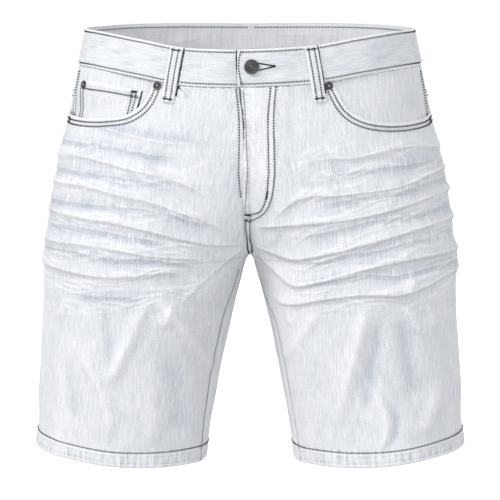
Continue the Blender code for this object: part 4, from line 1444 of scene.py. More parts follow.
def section(start: float, end: float, r: float, counts: tuple[int, int],
            turns: int) -> tuple[Array, Array]:
    """The section of a flat strip with round edges, once round.

    Args:
        start: Where the strip begins.
        end: Where it ends.
        r: Half its thickness.
        counts: How many points its outer and its inner face have.
        turns: How many points a round edge has, with those of the faces.
    Returns:
        The places from start to end, and the depths behind the outer face.
    """
    turn = np.linspace(0, math.pi, turns)[1:-1]
    places = np.concatenate([
        np.linspace(start + r, end - r, counts[0]), end - r + r * np.sin(turn),
        np.linspace(end - r, start + r, counts[1]), start + r - r * np.sin(turn)])
    depths = np.concatenate([np.zeros(counts[0]), r - r * np.cos(turn),
                             np.full(counts[1], 2 * r), r + r * np.cos(turn)])
    return places, depths


class Seams:
    """The worn strips and the stitched lines that a piece shows."""

    PITCH, NO_STRIP, NO_THREAD = 0.0015, 9.0, 0.02

    def __init__(self, strips: Sequence[Strip] = (), stitched: Sequence[Way] = ()) -> None:
        """Lays the lines once, for all points that ask.

        Args:
            strips: The worn strips.
            stitched: The stitched lines.
        """
        self.strips = [(strip, strip.way.laid(self.PITCH)[0]) for strip in strips]
        self.stitch_lines = [way.laid(self.PITCH)[0] for way in stitched]

    def marks(self, points: Array) -> dict[str, Array]:
        """The strip's and the thread's values at points on the cloth, three for each.

        Args:
            points: Points on the cloth, with x, y and z last.
        Returns:
            The values at each point, by the attribute's name.
        """
        none = np.zeros(points.shape[:-1])
        strip = np.stack([none, none + self.NO_STRIP, none], -1)
        thread = np.stack([none, none + self.NO_THREAD, none], -1)
        for row, line in self.strips:
            far, run = nearest(points, [line])
            here = np.stack([run, far / row.half, none + row.worn], -1)
            strip = np.where(here[..., 1:2] < strip[..., 1:2], here, strip)
        if self.stitch_lines:
            far, run = nearest(points, self.stitch_lines)
            thread = np.stack([run, np.minimum(far, self.NO_THREAD), none + 1.0], -1)
        return {"strip": strip, "thread": thread}


def on_panel(cut: Cut, panel: Panel, side: Side, a: Array, v: Array, edge: Array,
             seams: Seams, middle: Array | float, shift: float = 0.0,
             more: dict[str, Array] | None = None, marked_on_form: bool = False) -> Piece:
    """Makes a piece of cloth that lies on a panel.

    Args:
        cut: What the piece stands for.
        panel: The panel.
        side: The wearer's side.
        a: Distances along the cloth, as a grid.
        v: Drops.
        edge: The distance to the nearest border.
        seams: Its worn strips and stitched lines.
        middle: How far its middle is off the form.
        shift: Where its weave begins.
        more: Marks to be added to those of the folds and seams.
        marked_on_form: Whether the seams' marks are taken on the form below the piece.
    Returns:
        The object.
    """
    half = rounded(edge)
    half[[0, -1]], half[:, [0, -1]] = 0.0, 0.0
    outer = panel.point(side, a, v, middle + half)
    inner = panel.point(side, a, v, middle - half)
    seen = panel.point(side, a, v, 0.0) if marked_on_form else outer
    marks = {**FoldMap.marks(panel.on_form(side, a, v)[0]), **seams.marks(seen)}
    for name, values in (more or {}).items():
        marks[name] = marks.get(name, 0.0) + values
    return closed_shell(cut, outer, inner, panel.grain(side, a, v) + shift, marks)


class Sewing:
    """Rows of real stitches, all copies of one spindle, gathered in one mesh."""

    PITCH, GAP, WIDE, TALL = 0.0029, 0.00100, 0.00195, 0.00110
    SITS = 0.00026              # how far a stitch's middle is off its line

    def __init__(self, name: str, material: bpy.types.Material) -> None:
        """Starts an empty group.

        Args:
            name: The group's name.
            material: The thread.
        """
        self.name, self.material = name, material
        self.spots: list[Array] = []

    @staticmethod
    def spindle() -> tuple[Array, Array, Array]:
        """One stitch of unit size: its points, and its three- and four-cornered faces.

        Returns:
            The points, the three-cornered faces and the four-cornered faces.
        """
        bpy.ops.object.select_all(action="DESELECT")
        bpy.ops.mesh.primitive_uv_sphere_add(segments=6, ring_count=4, radius=1.0,
                                             rotation=(0.0, math.pi / 2, 0.0))
        bpy.ops.object.transform_apply(rotation=True)
        made = bpy.context.active_object
        points = np.array([vert.co[:] for vert in made.data.vertices])
        faces = [list(face.vertices) for face in made.data.polygons]
        bpy.data.objects.remove(made)
        return points, *(np.array([f for f in faces if len(f) == k]) for k in (3, 4))

    def rows(self, ways: Sequence[Way], pitch: float = PITCH, wide: float = WIDE) -> "Sewing":
        """Sews along lines.

        Args:
            ways: The lines.
            pitch: The length of a stitch and its gap.
            wide: The thread's width.
        Returns:
            The group itself.
        """
        for way in ways:
            line = resample(np.concatenate(way.laid(0.0006), 1), pitch)
            start, end = line[:-1], line[1:]
            chord = end[:, :3] - start[:, :3]
            long = np.linalg.norm(chord, axis=1)
            sizes = np.stack([(long - self.GAP) / 2, np.full_like(long, wide / 2),
                              np.full_like(long, self.TALL / 2)], 1)
            self.spots.append(np.concatenate([(start + end)[:, :3] / 2, chord / long[:, None],
                                              unit((start + end)[:, 3:]), sizes], 1))
        return self

    def tack(self, way: Way, wide: float = 0.0024, pitch: float = 0.00046) -> None:
        """Sews a bar: threads side by side across a short line.

        Args:
            way: The line across.
            wide: How long each thread is, in metres.
            pitch: The distance between threads, in metres.
        """
        line = resample(np.concatenate(way.laid(0.0002), 1), pitch)
        along, up = unit(np.gradient(line[:, :3], axis=0)), unit(line[:, 3:])
        across = unit(np.cross(along, up) + 0.12 * along)
        sizes = np.tile((wide / 2, pitch * 0.56, 0.00045), (len(line), 1))
        self.spots.append(np.concatenate([line[:, :3] + up * 0.0001, across, up, sizes], 1))

    def finish(self) -> None:
        """Makes the group's mesh."""
        spots = np.concatenate(self.spots)
        points, three, four = self.spindle()
        along, up = spots[:, 3:6], spots[:, 6:9]
        across = unit(np.cross(up, along))
        up = np.cross(along, across)
        laid = (spots[:, :3] + up * self.SITS)[:, None] + np.einsum(
            "pk,nk,nkj->npj", points, spots[:, 9:12], np.stack([along, across, up], 1))
        start = (np.arange(len(spots)) * len(points))[:, None, None]
        faces = [face for shape in (three, four)
                 for face in (shape[None] + start).reshape(-1, shape.shape[1]).tolist()]
        finished(self.name, laid, faces, self.material)


# ------------------------------------------------------------------ the seams of each panel
@dataclass(frozen=True)
class Mouth:
    """A front pocket's mouth, from the waist seam round to the side seam."""

    begins: float
    drops: tuple[float, ...]    # in millimetres
    ANGLES = np.array((0.0, 0.125, 0.25, 0.40, 0.55, 0.70, 0.85, 1.0))
    DEEPEST = 0.0557

    def drop(self, share: Array) -> Array:
        """How far the mouth is below the waist seam, by the share of the front's width.

        Args:
            share: Shares of the front's width.
        Returns:
            The drops below the waist seam.
        """
        from_side = np.clip((1 - share) / (1 - self.begins), 0.0, 1.0)
        return spline(self.ANGLES, np.array(self.drops) / 1000,
                      np.arccos(from_side) / (math.pi / 2))

    def edge(self, count: int = 60) -> Points:
        """Places along the mouth's edge.

        Args:
            count: How many places.
        Returns:
            The places, in order along the edge.
        """
        share = 1 - (1 - self.begins) * np.cos(np.linspace(0, math.pi / 2, count))
        v = BELOW_BAND + self.drop(share)
        return list(zip(share * (FRONT.width(v) - SEAM_GAP / 2), v))


MOUTHS = {Side.LEFT: Mouth(0.3735, (0.0, 9.5, 29.0, 44.8, 52.8, 55.7, 54.7, 50.0)),
          Side.RIGHT: Mouth(0.4442, (0.0, 14.0, 28.8, 41.8, 48.2, 52.3, 53.0, 51.5))}


class Fly:
    """The lapped edge at the middle of the fronts, and what is sewn round it."""

    # the drops and the x of the left front's edge
    EDGE = mm(39, -11.4, 53, -10.6, 69, -8.4, 98, -6.9, 135, -7.3, 177, -8, 202, -7.2,
              222, -6, 234, -4, 244.5, -0.2)
    UNDERLAP = 0.004
    WIDTH = 0.0285
    END_DROP = 0.188
    LIFT = CLOTH + 0.0009
    CORNER = 0.028
    FACING_END = 0.004
    SHIELD_DEPTH = CLOTH + 0.0012
    SHIELD_REACH = (-0.026, 0.020)
    SHIELD_SHORTER = 0.012
    EDGE_STITCH = mm(-7.1, 42, -4.8, 69, -3.5, 110, -3.5, 150, -4.8, 162, -6.4, 172, -6.6, 177.5)
    UNDER_STITCH = mm(14.1, 41, 11.3, 69, 11.3, 110, 11.4, 150, 9.8, 164)
    INNER_CURVE = mm(21.2, 40, 18.7, 70, 19.1, 110, 19.3, 150, 17, 167, 12.2, 173.8,
                     4.5, 175.7, -6, 176.2)
    OUTER_CURVE = mm(26.6, 39, 24.3, 70, 25.2, 110, 25.4, 150, 23.2, 165, 18, 174.2,
                     11.5, 178.2, 3, 180.8, -3, 182.2, -5.2, 180.6)
    CROTCH = (mm(-7, 180, -6.9, 189, -6.3, 197.6, -5.6, 209.2, -5, 220, -2.8, 233),
              mm(0, 176.5, 0.3, 186, 1.2, 194, 2.2, 201, 4, 210, 5.6, 220, 6, 226))
    BETWEEN_CURVES = (*shifted(INNER_CURVE[:4], 0.0029),
                      *mm(20, 166.5, 14.8, 176.2, 7.5, 179, -5, 180))
    BARS = ((mm(19, 158.5, 18, 164), 0.0020), (mm(-7.6, 176.2, 1.2, 176.4), 0.0022),
            (mm(-7.8, 180.6, -5.4, 180.7), 0.0018))

    @classmethod
    def edge_x(cls, side: Side, v: Array) -> Array:
        """The x of a front's edge at the middle.

        Args:
            side: The wearer's side.
            v: The rows.
        Returns:
            The places across.
        """
        x = np.interp(v, *zip(*cls.EDGE))
        under = cls.UNDERLAP * (1 - smooth(cls.END_DROP - 0.002, cls.END_DROP + 0.012, v))
        return x if side is Side.LEFT else x + under

    @classmethod
    def lift(cls, side: Side, a: Array, v: Array) -> Array:
        """How far the left front is raised over the fly's other layers.

        Args:
            side: The wearer's side.
            a: Places along the cloth.
            v: The rows.
        Returns:
            The lift, in metres.
        """
        if side is Side.RIGHT:
            return np.zeros(np.broadcast(a, v).shape)
        across = 1 - smooth(cls.WIDTH + 0.006, cls.WIDTH + 0.018, a)
        down = 1 - smooth(cls.END_DROP + 0.010, cls.END_DROP + 0.032, v)
        return cls.LIFT * across * down


class OnFly(Way):
    """A line on the left front that follows the rise of the cloth over the fly."""

    def depth(self, a: Array, v: Array) -> Array | float:
        """How far the raised cloth is off the form."""
        return Fly.lift(self.side, a, v)


@dataclass(frozen=True)
class OnHip(Way):
    """A line on a hip piece, or on the coin pocket that lies on it."""

    coin: bool = False

    def depth(self, a: Array, v: Array) -> Array | float:
        """How far the hip piece or the coin pocket is off the form.

        Args:
            a: Places along the cloth.
            v: The rows.
        Returns:
            The depth, in metres.
        """
        if self.coin:
            return HipFacings.coin_lift(a, v)
        return HipFacings.lift(self.side, a / FRONT.width(v), v)


class SeamPlan:
    """Where the shorts are sewn: the stitched lines and the worn strips of each panel."""

    HEM_EDGE = 0.4635
    INSEAM = {Side.RIGHT: mm(33, 258, 24, 278, 16, 298, 11.8, 318, 12.5, 346, 12, 376, 7.9, 418,
                             3.5, 445, 1.8, 463),
              Side.LEFT: mm(5, 252, 4.8, 318, 4.5, 376, 3.8, 418, 3.4, 463)}

    @staticmethod
    def mouth_rows(side: Side) -> list[Way]:
        """The two rows along a front pocket's mouth.

        Args:
            side: The wearer's side.
        Returns:
            The two rows.
        """
        rows = []
        for off, lift in ((0.0044, 0.0004), (0.0088, 0.0001)):
            row = [p for p in beside(MOUTHS[side].edge(), off) if p[1] > 0.0412]
            rows.append(Way(FRONT, side, row[::2] + [row[-1]], lift))
        return rows

    @staticmethod
    def hem_row(panel: Panel, side: Side) -> Way:
        """The row that holds the turned-up hem.

        Args:
            panel: The panel.
            side: The wearer's side.
        Returns:
            The row.
        """
        a = np.linspace(0.001, float(panel.width(0.447)) - 0.001, 30)
        return row_of(panel, side, a, 0.4462 + 0.0022 * np.sin(np.linspace(0, math.pi, 30)),
                      0.0002)

    @classmethod
    def hem_edge(cls, panel: Panel, side: Side) -> Strip:
        """The worn edge of a hem."""
        a = np.linspace(0.0, float(panel.width(cls.HEM_EDGE)), 30)
        return Strip(row_of(panel, side, a, cls.HEM_EDGE), 0.0030, 0.9)

    @staticmethod
    def side_seam(panel: Panel, side: Side, low: float, high: float) -> Way:
        """A line beside the side seam between two drops."""
        v = np.linspace(low, high, 40)
        return row_of(panel, side, panel.width(v) - 0.001, v)

    @staticmethod
    def middle(panel: Panel, side: Side, off: float, low: float, high: float) -> Way:
        """A line beside the middle or the inseam between two drops."""
        return row_of(panel, side, off, np.linspace(low, high, 40))

    @staticmethod
    def waist_row(panel: Panel, side: Side, v: float, low: float = 0.0) -> Way:
        """A line along the waist seam on a panel."""
        return row_of(panel, side, np.linspace(low, float(panel.width(v)), 40), v)

    @classmethod
    def front(cls, side: Side) -> Seams:
        """The strips and the stitched lines of a front.

        Args:
            side: The wearer's side.
        Returns:
            The seams of the front.
        """
        edge, hem = MOUTHS[side].edge(), cls.hem_row(FRONT, side)
        strips = [Strip(Way(FRONT, side, beside(edge, 0.0020)[::2]), 0.0024),
                  Strip(Way(FRONT, side, beside(edge, 0.0066)[::2]), 0.0021, 0.55),
                  Strip(cls.side_seam(FRONT, side, 0.09, 0.463), 0.0045, 0.9),
                  Strip(cls.waist_row(FRONT, side, 0.0405), 0.0012, 0.35),
                  Strip(cls.middle(FRONT, side, 0.002, 0.252, 0.463), 0.0040, 0.7),
                  cls.hem_edge(FRONT, side),
                  Strip(Way(FRONT, side, shifted(hem.places, v=0.0022)), 0.0017, 0.75)]
        stitched = [*cls.mouth_rows(side), hem, Way(FRONT, side, cls.INSEAM[side]),
                    cls.waist_row(FRONT, side, 0.0392)]
        for place in BeltLoops.places(FRONT, side):
            low, edge_a = BeltLoops.LOWEST, place.a_bottom + side.value * BeltLoops.BESIDE
            slope = (place.a_bottom - place.a_top) / low
            stitched.append(Way(FRONT, side, ((edge_a - slope * 0.020, low - 0.020),
                                              (edge_a, low - 0.001))))
        if side is Side.LEFT:
            stitched += [OnFly(FRONT, side, line) for line in
                         (Fly.EDGE_STITCH, Fly.INNER_CURVE, Fly.OUTER_CURVE, *Fly.CROTCH)]
            v = np.linspace(0.0395, 0.232, 40)
            for line, half, worn in (
                    (list(zip(Fly.edge_x(side, v) + 0.0016, v)), 0.0034, 1.0),
                    (Fly.BETWEEN_CURVES, 0.0028, 0.8),
                    (shifted(Fly.CROTCH[0], 0.0030), 0.0024, 0.9)):
                strips.append(Strip(OnFly(FRONT, side, line), half, worn))
        else:
            stitched.append(Way(FRONT, side, Fly.UNDER_STITCH))
            strips.append(Strip(Way(FRONT, side, shifted(Fly.UNDER_STITCH, -0.0022)),
                                0.0030, 0.6))
        return Seams(strips, stitched)


# ------------------------------------------------------------------ rows of the panels
def panel_rows(top: Array, upper: int, ridged: int, leg: int, hem: int) -> Array:
    """The drops of a panel's rows, closest at its edges and ridges.

    Args:
        top: The drop of its top edge at each column.
        upper: How many rows are above the ridges.
        ridged: How many rows are at the ridges.
        leg: How many rows are between the ridges and the hem.
        hem: How many rows are in the hem.
    Returns:
        The drops, by row and column.
    """
    start = top + bend()[:, None]
    down = np.linspace(0, 1, upper + 1)[1:, None]
    lower = np.concatenate([np.linspace(RIDGES_BEGIN, RIDGES_END, ridged + 1)[1:],
                            np.linspace(RIDGES_END, HEM_ROWS_BEGIN, leg + 1)[1:],
                            np.linspace(HEM_ROWS_BEGIN, HEM_DROP - CLOTH / 2, hem + 1)[1:],
                            (HEM_DROP - bend()[:-1])[::-1]])
    return np.concatenate([start, start[-1] + (RIDGES_BEGIN - start[-1]) * down,
                           np.tile(lower[:, None], (1, len(top)))])


def hem_swell(v: Array) -> Array:
    """How far a hem swells over its turned-up layer, and draws in at its folded edge."""
    swell = 0.00035 * smooth(0.4455, 0.4480, v) * (1 - smooth(0.4635, HEM_DROP, v))
    return swell - 0.0010 * smooth(HEM_DROP - 0.0022, HEM_DROP, v) ** 2


# ------------------------------------------------------------------ fronts
@dataclass
class FrontPanels:
    """The two fronts: cut away at the pocket mouths, lapped at the fly, turned up at the hems."""

    finishes: Finishes
    fly_columns: int = 50
    mouth_columns: int = 84
    rows: tuple[int, ...] = (56, 160, 90, 14)
    lip: float = 0.0006
    mouth_reach: float = 0.118          # the drop down to which the mouth's edge is looked for
    general_width: float = 0.25
    far: float = 0.05                   # a distance beyond all that matter

    def columns(self, side: Side) -> Array:
        """The shares of a front's width at its columns.

        Args:
            side: The wearer's side.
        Returns:
            The shares, rising from 0 to 1.
        """
        begins = MOUTHS[side].begins
        near = bend() / self.general_width
        angles = np.linspace(0, math.pi / 2, self.mouth_columns + 1)[1:]
        outer = 1 - (1 - begins) * np.cos(angles)
        outer = outer[outer < 1 - near[-1] - 1e-6]
        inner = np.linspace(near[-1], begins, self.fly_columns)
        return np.concatenate([near[:-1], inner, outer, (1 - near)[::-1]])

    def build(self, side: Side) -> None:
        """Makes one front.

        Args:
            side: The wearer's side.
        """
        mouth, share = MOUTHS[side], self.columns(side)
        v = panel_rows(BELOW_BAND + mouth.drop(share), *self.rows)
        start = np.where(v < CROTCH_DROP, side.value * Fly.edge_x(side, v), 0.0) + SEAM_GAP / 2
        a = share * (FRONT.width(v) - SEAM_GAP / 2)
        a = a + start * (1 - np.minimum(share / mouth.begins, 1.0))
        edge_line = np.pad(np.array(mouth.edge(160)), ((0, 0), (0, 1)))
        upper = v < self.mouth_reach
        to_mouth = np.full(v.shape, self.far)
        to_mouth[upper] = nearest(np.stack([a, v, 0 * a], -1)[upper], [edge_line])[0]
        edge = np.minimum(
            np.minimum(to_mouth, np.where(share < mouth.begins, v - v[0], self.far)),
            np.minimum(np.minimum(share, 1 - share) * self.general_width, HEM_DROP - v))
        middle = (Fly.lift(side, a, v) - CLOTH / 2 + self.lip * bell(to_mouth, 0.006)
                  + hem_swell(v))
        on_panel(Cut(side.of("front"), (0.352, 0.430), self.finishes), FRONT, side, a, v, edge,
                 SeamPlan.front(side), middle, more=self.wear(side, a, v, start))

    def wear(self, side: Side, a: Array, v: Array, start: Array) -> dict[str, Array]:
        """What the wash does beside other pieces, and the shadows painted beside them.

        Args:
            side: The wearer's side.
            a: Distances along the cloth.
            v: Drops.
            start: Where the front begins in the middle.
        Returns:
            Marks to be added to those of the folds and seams.
        """
        # Painted shade: blue blotches between the gathers under the waist seam.
        painted_gather_shade = np.clip(FoldMap.gathers(a, 0.0105, 1.3 * side.value + 1.6), 0.0, 1.0)
        # Painted shadow lines under the waist seam and beside the belt loops.
        seam = v - BELOW_BAND + 0.0006 + 0.0004 * FoldMap.gathers(a, 0.0085, 2.0)
        shade = [seam, np.where(v < BAND_DEPTH + BeltLoops.TAIL * 0.6,
                                BeltLoops.shaded(FRONT, side, a, v), self.far)]
        more = {"blue": 0.75 * painted_gather_shade * bell(v - 0.0440, 0.0055)}
        if side is Side.LEFT:
            # Painted shadow in the slit along the fly's lapped edge.
            shade.append(0.5 * (a - start) - 0.0003 + 0.0018 * smooth(0.070, 0.135, v))
            bright = smooth(0.0, 0.004, a - start) * (1 - smooth(0.014, 0.020, a))
            more["worn"] = 0.6 * bright * (1 - smooth(0.150, 0.180, v))
        return {**more, "shade": 1.0 + closest(shade)}


@dataclass
class HipFacings:
    """The hip pieces behind the pocket mouths, and the coin pocket on the right one."""

    finishes: Finishes
    depth: float = CLOTH + 0.0009
    under: float = 0.012
    coin_side: float = 0.0335
    coin_inner: float = 0.1193
    coin_drops: tuple[float, float] = (0.0145, 0.0125)
    coin_bottom: float = 0.070
    coin_size: tuple[float, float] = (0.085, 0.056)
    coin_rows: tuple[Points, ...] = (
        mm(200, 61.5, 197, 61.8, 163.9, 60.8, 138, 60, 121.5, 59.8),
        mm(129.9, 54.5, 130.6, 62, 132.6, 71, 135.2, 83),
        mm(124.3, 53.5, 125.6, 62, 127.6, 70, 130, 79),
        mm(205, 56, 206.8, 63, 208.8, 76, 211.2, 93),
        mm(199.4, 56, 201, 64, 203, 76, 205.6, 93))
    side_rows: tuple[Points, ...] = (
        mm(222.5, 44, 224, 56, 226.2, 68, 229, 80, 231, 92),
        mm(227.5, 44, 229.2, 56, 231.4, 68, 234.2, 80, 236.2, 92))

    @classmethod
    def lift(cls, side: Side, share: Array, v: Array) -> Array:
        """How deep the facing lies: behind the front, and level with it away from the mouth.

        Args:
            side: The wearer's side.
            share: Shares of the front's width.
            v: The rows.
        Returns:
            The lift, in metres, below zero where the facing lies deep.
        """
        mouth = MOUTHS[side]
        layers = 2 if side is Side.RIGHT else 1
        from_side = (1 - share) / (1 - mouth.begins)
        down = (v - BAND_DEPTH) / np.maximum(mouth.drop(share), 0.001)
        radius = (np.abs(from_side) ** 4 + down ** 4) ** 0.25
        risen = ((1 - smooth(0.003, 0.024, (1 - share) * 0.25))
                 * (1 - smooth(-0.0036, -0.0008, v - (BELOW_BAND + mouth.drop(share)))))
        return -layers * cls.depth * smooth(0.45, 0.90, radius) * (1 - risen)

    @classmethod
    def coin_lift(cls, a: Array, v: Array) -> Array:
        """How far the coin pocket's face is off the form."""
        return cls.lift(Side.RIGHT, a / FRONT.width(v), v) + LAYER_GAP + CLOTH

    def facing(self, side: Side) -> None:
        """Makes one hip piece.

        Args:
            side: The wearer's side.
        """
        s, t = np.meshgrid(rim(1.0, 1 / 84, 0.005), rim(1.0, 1 / 44, 0.011))
        share = 1 - (1 - MOUTHS[side].begins) * 1.08 * np.cos(s * math.pi / 2)
        deep = (Mouth.DEEPEST + self.under) * np.clip(np.sin(s * math.pi / 2), 0.12, 1.0) ** 0.8
        v = BELOW_BAND + t * deep
        a = share * FRONT.width(v) - SEAM_GAP / 2
        seams = Seams([Strip(SeamPlan.side_seam(FRONT, side, 0.041, 0.092), 0.0040, 0.9),
                       Strip(SeamPlan.waist_row(FRONT, side, 0.0405, 0.09), 0.0012, 0.35)],
                      [Way(FRONT, side, row) for row in self.side_rows])
        # Painted shadow lines under the waist seam and beside the coin pocket's edge.
        shade = [v - BELOW_BAND + 0.0006]
        if side is Side.RIGHT:
            beside_coin = a - FRONT.width(v) + self.coin_inner + 0.0007
            shade.append(np.where(v > BAND_DEPTH + self.coin_drops[1], beside_coin, 0.05))
        on_panel(Cut(side.of("pocket_facing"), (0.170, 0.070), self.finishes), FRONT, side, a, v,
                 border(s, t, 0.14, deep), seams, self.lift(side, share, v) - CLOTH / 2, 0.7,
                 {"shade": 1.0 + closest(shade)})

    def coin_pocket(self) -> None:
        """Makes the coin pocket."""
        s, t = shares(*self.coin_size, 56, 40)
        top = BAND_DEPTH + self.coin_drops[0] + (self.coin_drops[1] - self.coin_drops[0]) * s
        v = top + t * (BAND_DEPTH + self.coin_bottom - top)
        a = FRONT.width(v) - (self.coin_side + (self.coin_inner - self.coin_side) * s)
        puffed = 0.0004 * bell(t * self.coin_size[1], 0.006) * np.sin(s * math.pi)
        inset = slice(3, -3)
        seams = Seams(
            [Strip(Way(FRONT, Side.RIGHT, list(zip(a[3, inset], v[3, inset] + 0.0010))[::4]),
                   0.0026, 0.8),
             Strip(Way(FRONT, Side.RIGHT, list(zip(a[inset, -4] + 0.0020, v[inset, -4]))[::4]),
                   0.0030, 0.8)],
            [Way(FRONT, Side.RIGHT, row) for row in self.coin_rows])
        on_panel(Cut("coin_pocket", (0.087, 0.059), self.finishes), FRONT, Side.RIGHT, a, v,
                 border(s, t, *self.coin_size), seams, self.coin_lift(a, v) - CLOTH / 2 + puffed,
                 1.3, marked_on_form=True)


@dataclass
class FlyLayers:
    """The two layers behind the lapped edge."""

    finishes: Finishes
    size: tuple[float, float] = (0.035, 0.14)

    def layer(self, name: str, s_to_a: Callable[[Array, Array], Array], end: float,
              lift: float, flat: tuple[float, float]) -> None:
        """Makes one layer between the waist seam and a drop.

        Args:
            name: The node that it stands for.
            s_to_a: Gives the distance along the cloth by share and drop.
            end: The lowest drop.
            lift: How far its outer face is off the form.
            flat: The size that it was cut to.
        """
        s, t = shares(*self.size, 12, 60)
        v = BELOW_BAND + t * (end - BELOW_BAND)
        on_panel(Cut(name, flat, self.finishes), FRONT, Side.LEFT, s_to_a(s, v), v,
                 border(s, t, *self.size), Seams(), lift - CLOTH / 2, 2.1)

    def facing(self) -> None:
        """Makes the layer that the curved stitching holds."""
        def across(s: Array, v: Array) -> Array:
            """The distance along the cloth, up to a rounded corner."""
            start = Fly.edge_x(Side.RIGHT, v) + SEAM_GAP
            corner = np.clip((v - Fly.END_DROP) / Fly.CORNER + 1, 0.0, 1.0)
            narrow = start + Fly.FACING_END
            end = narrow + (Fly.WIDTH - narrow) * np.sqrt(1 - 0.98 * corner ** 2)
            return start + s * (end - start)
        self.layer("fly_facing", across, Fly.END_DROP, 0.0, (0.037, 0.150))

    def shield(self) -> None:
        """Makes the strip that closes the fly from inside."""
        right, left = Fly.SHIELD_REACH
        self.layer("fly_shield", lambda s, v: right + s * (left - right),
                   Fly.END_DROP - Fly.SHIELD_SHORTER, -Fly.SHIELD_DEPTH, (0.047, 0.138))


# ------------------------------------------------------------------ backs, yokes and pockets
@dataclass
class BackPanels:
    """The two backs with their yokes and patch pockets."""

    finishes: Finishes
    yoke_middle: float = 0.104
    yoke_side: float = 0.064
    rows: tuple[int, ...] = (18, 82, 61, 13)
    pocket_middle: float = 0.100
    pocket_top: float = 0.112
    pocket_height: float = 0.150
    pocket_point: float = 0.016
    pocket_half_top: float = 0.070
    pocket_half_bottom: float = 0.062
    pocket_size: tuple[float, float] = (0.13, 0.15)
    pocket_lift: float = 0.0018 + CLOTH
    weave_begins: float = 4.0

    def seam(self, share: Array) -> Array:
        """The drop of the yoke's lower edge, by the share of the way to the side."""
        return self.yoke_middle + (self.yoke_side - self.yoke_middle) * share

    def seam_way(self, side: Side, below: float) -> Way:
        """A line beside the yoke seam.

        Args:
            side: The wearer's side.
            below: How far below the seam the line lies.
        Returns:
            The line.
        """
        share = np.linspace(0.004, 0.996, 40)
        v = self.seam(share) + below
        return row_of(BACK, side, share * BACK.width(v), v)

    def back(self, side: Side) -> None:
        """Makes one back, from the yoke seam to the hem.

        Args:
            side: The wearer's side.
        """
        wide = 0.34
        share = rim(1.0, 1 / 108, CLOTH / 2 / wide)
        top = self.seam(share) + SEAM_GAP / 2
        v = panel_rows(top, *self.rows)
        a = SEAM_GAP / 2 + share * (BACK.width(v) - SEAM_GAP)
        edge = np.minimum(np.minimum(v - top, HEM_DROP - v), np.minimum(share, 1 - share) * wide)
        strips = [Strip(self.seam_way(side, 0.0012), 0.0022, 0.9),
                  Strip(self.seam_way(side, 0.0050), 0.0026, 0.6),
                  Strip(SeamPlan.side_seam(BACK, side, 0.072, 0.463), 0.0045, 0.9),
                  Strip(SeamPlan.middle(BACK, side, 0.002, 0.110, 0.240), 0.0036, 0.9),
                  Strip(SeamPlan.middle(BACK, side, 0.002, 0.252, 0.463), 0.0036, 0.8),
                  SeamPlan.hem_edge(BACK, side)]
        on_panel(Cut(side.of("back"), (0.425, 0.402), self.finishes), BACK, side, a, v, edge,
                 Seams(strips, self.stitched(side)), hem_swell(v) - CLOTH / 2,
                 self.weave_begins)

    def stitched(self, side: Side) -> list[Way]:
        """The stitched lines of a back.

        Args:
            side: The wearer's side.
        Returns:
            The lines.
        """
        rows = [self.seam_way(side, 0.0024), self.seam_way(side, 0.0076),
                SeamPlan.hem_row(BACK, side)]
        if side is Side.LEFT:
            rows += [SeamPlan.middle(BACK, side, 0.0024, 0.106, 0.238),
                     SeamPlan.middle(BACK, side, 0.0080, 0.112, 0.236)]
        return rows

    @staticmethod
    def yoke_stitched(side: Side) -> list[Way]:
        """The stitched lines of a yoke, which only the left one has."""
        return [SeamPlan.middle(BACK, side, off, 0.041, low) for off, low in
                ((0.0024, 0.1035), (0.0080, 0.1020)) if side is Side.LEFT]

    def yoke(self, side: Side) -> None:
        """Makes one yoke.

        Args:
            side: The wearer's side.
        """
        wide = 0.27
        share = rim(1.0, 1 / 88, CLOTH / 2 / wide)
        low = self.seam(share) - SEAM_GAP / 2
        v = BELOW_BAND + rim(1.0, 1 / 26, 0.012)[:, None] * (low - BELOW_BAND)
        a = SEAM_GAP / 2 + share * (BACK.width(v) - SEAM_GAP)
        edge = np.minimum(np.minimum(v - BELOW_BAND, low - v),
                          np.minimum(share, 1 - share) * wide)
        strips = [Strip(SeamPlan.waist_row(BACK, side, 0.0405), 0.0012, 0.35),
                  Strip(SeamPlan.middle(BACK, side, 0.002, 0.041, 0.102), 0.0036, 0.9)]
        on_panel(Cut(side.of("yoke"), (0.290, 0.066), self.finishes), BACK, side, a, v, edge,
                 Seams(strips, self.yoke_stitched(side)), -CLOTH / 2, self.weave_begins + 1.0)

    def pocket_place(self, s: Array, t: Array) -> tuple[Array, Array]:
        """The places of a patch pocket, by the shares across and down.

        Args:
            s: Shares across the pocket.
            t: Shares down it.
        Returns:
            The places along the cloth, and the rows.
        """
        across = 2 * s - 1
        level = CROTCH_DROP - (CROTCH_DROP - self.pocket_top) / 6
        stage = np.interp(t, (0.0, 10 / 14, 1.0), (0.0, 1.0, 2.0))
        lowest = self.pocket_top + self.pocket_height - self.pocket_point * np.abs(across)
        v = np.where(stage < 1, self.pocket_top + (level - self.pocket_top) * stage,
                     level + (lowest - level) * (stage - 1))
        half = self.pocket_half_top + (self.pocket_half_bottom - self.pocket_half_top) * t
        return self.pocket_middle + across * half, v

    def pocket_line(self, side: Side, inset: float) -> Way:
        """A line round the sides and the bottom of a pocket, at a distance from its edge.

        Args:
            side: The wearer's side.
            inset: The distance from the pocket's edge.
        Returns:
            The line.
        """
        x = 1 - inset / (self.pocket_half_bottom + 0.004)
        low = 1 - inset / self.pocket_size[1]
        down = np.linspace(0.002, low, 26)
        down = np.concatenate([down, np.full(29, low), down[::-1]])
        across = np.concatenate([np.full(26, -x), np.linspace(-x, x, 31)[1:-1], np.full(26, x)])
        a, v = self.pocket_place((across + 1) / 2, down)
        return row_of(BACK, side, a, v, self.pocket_lift)

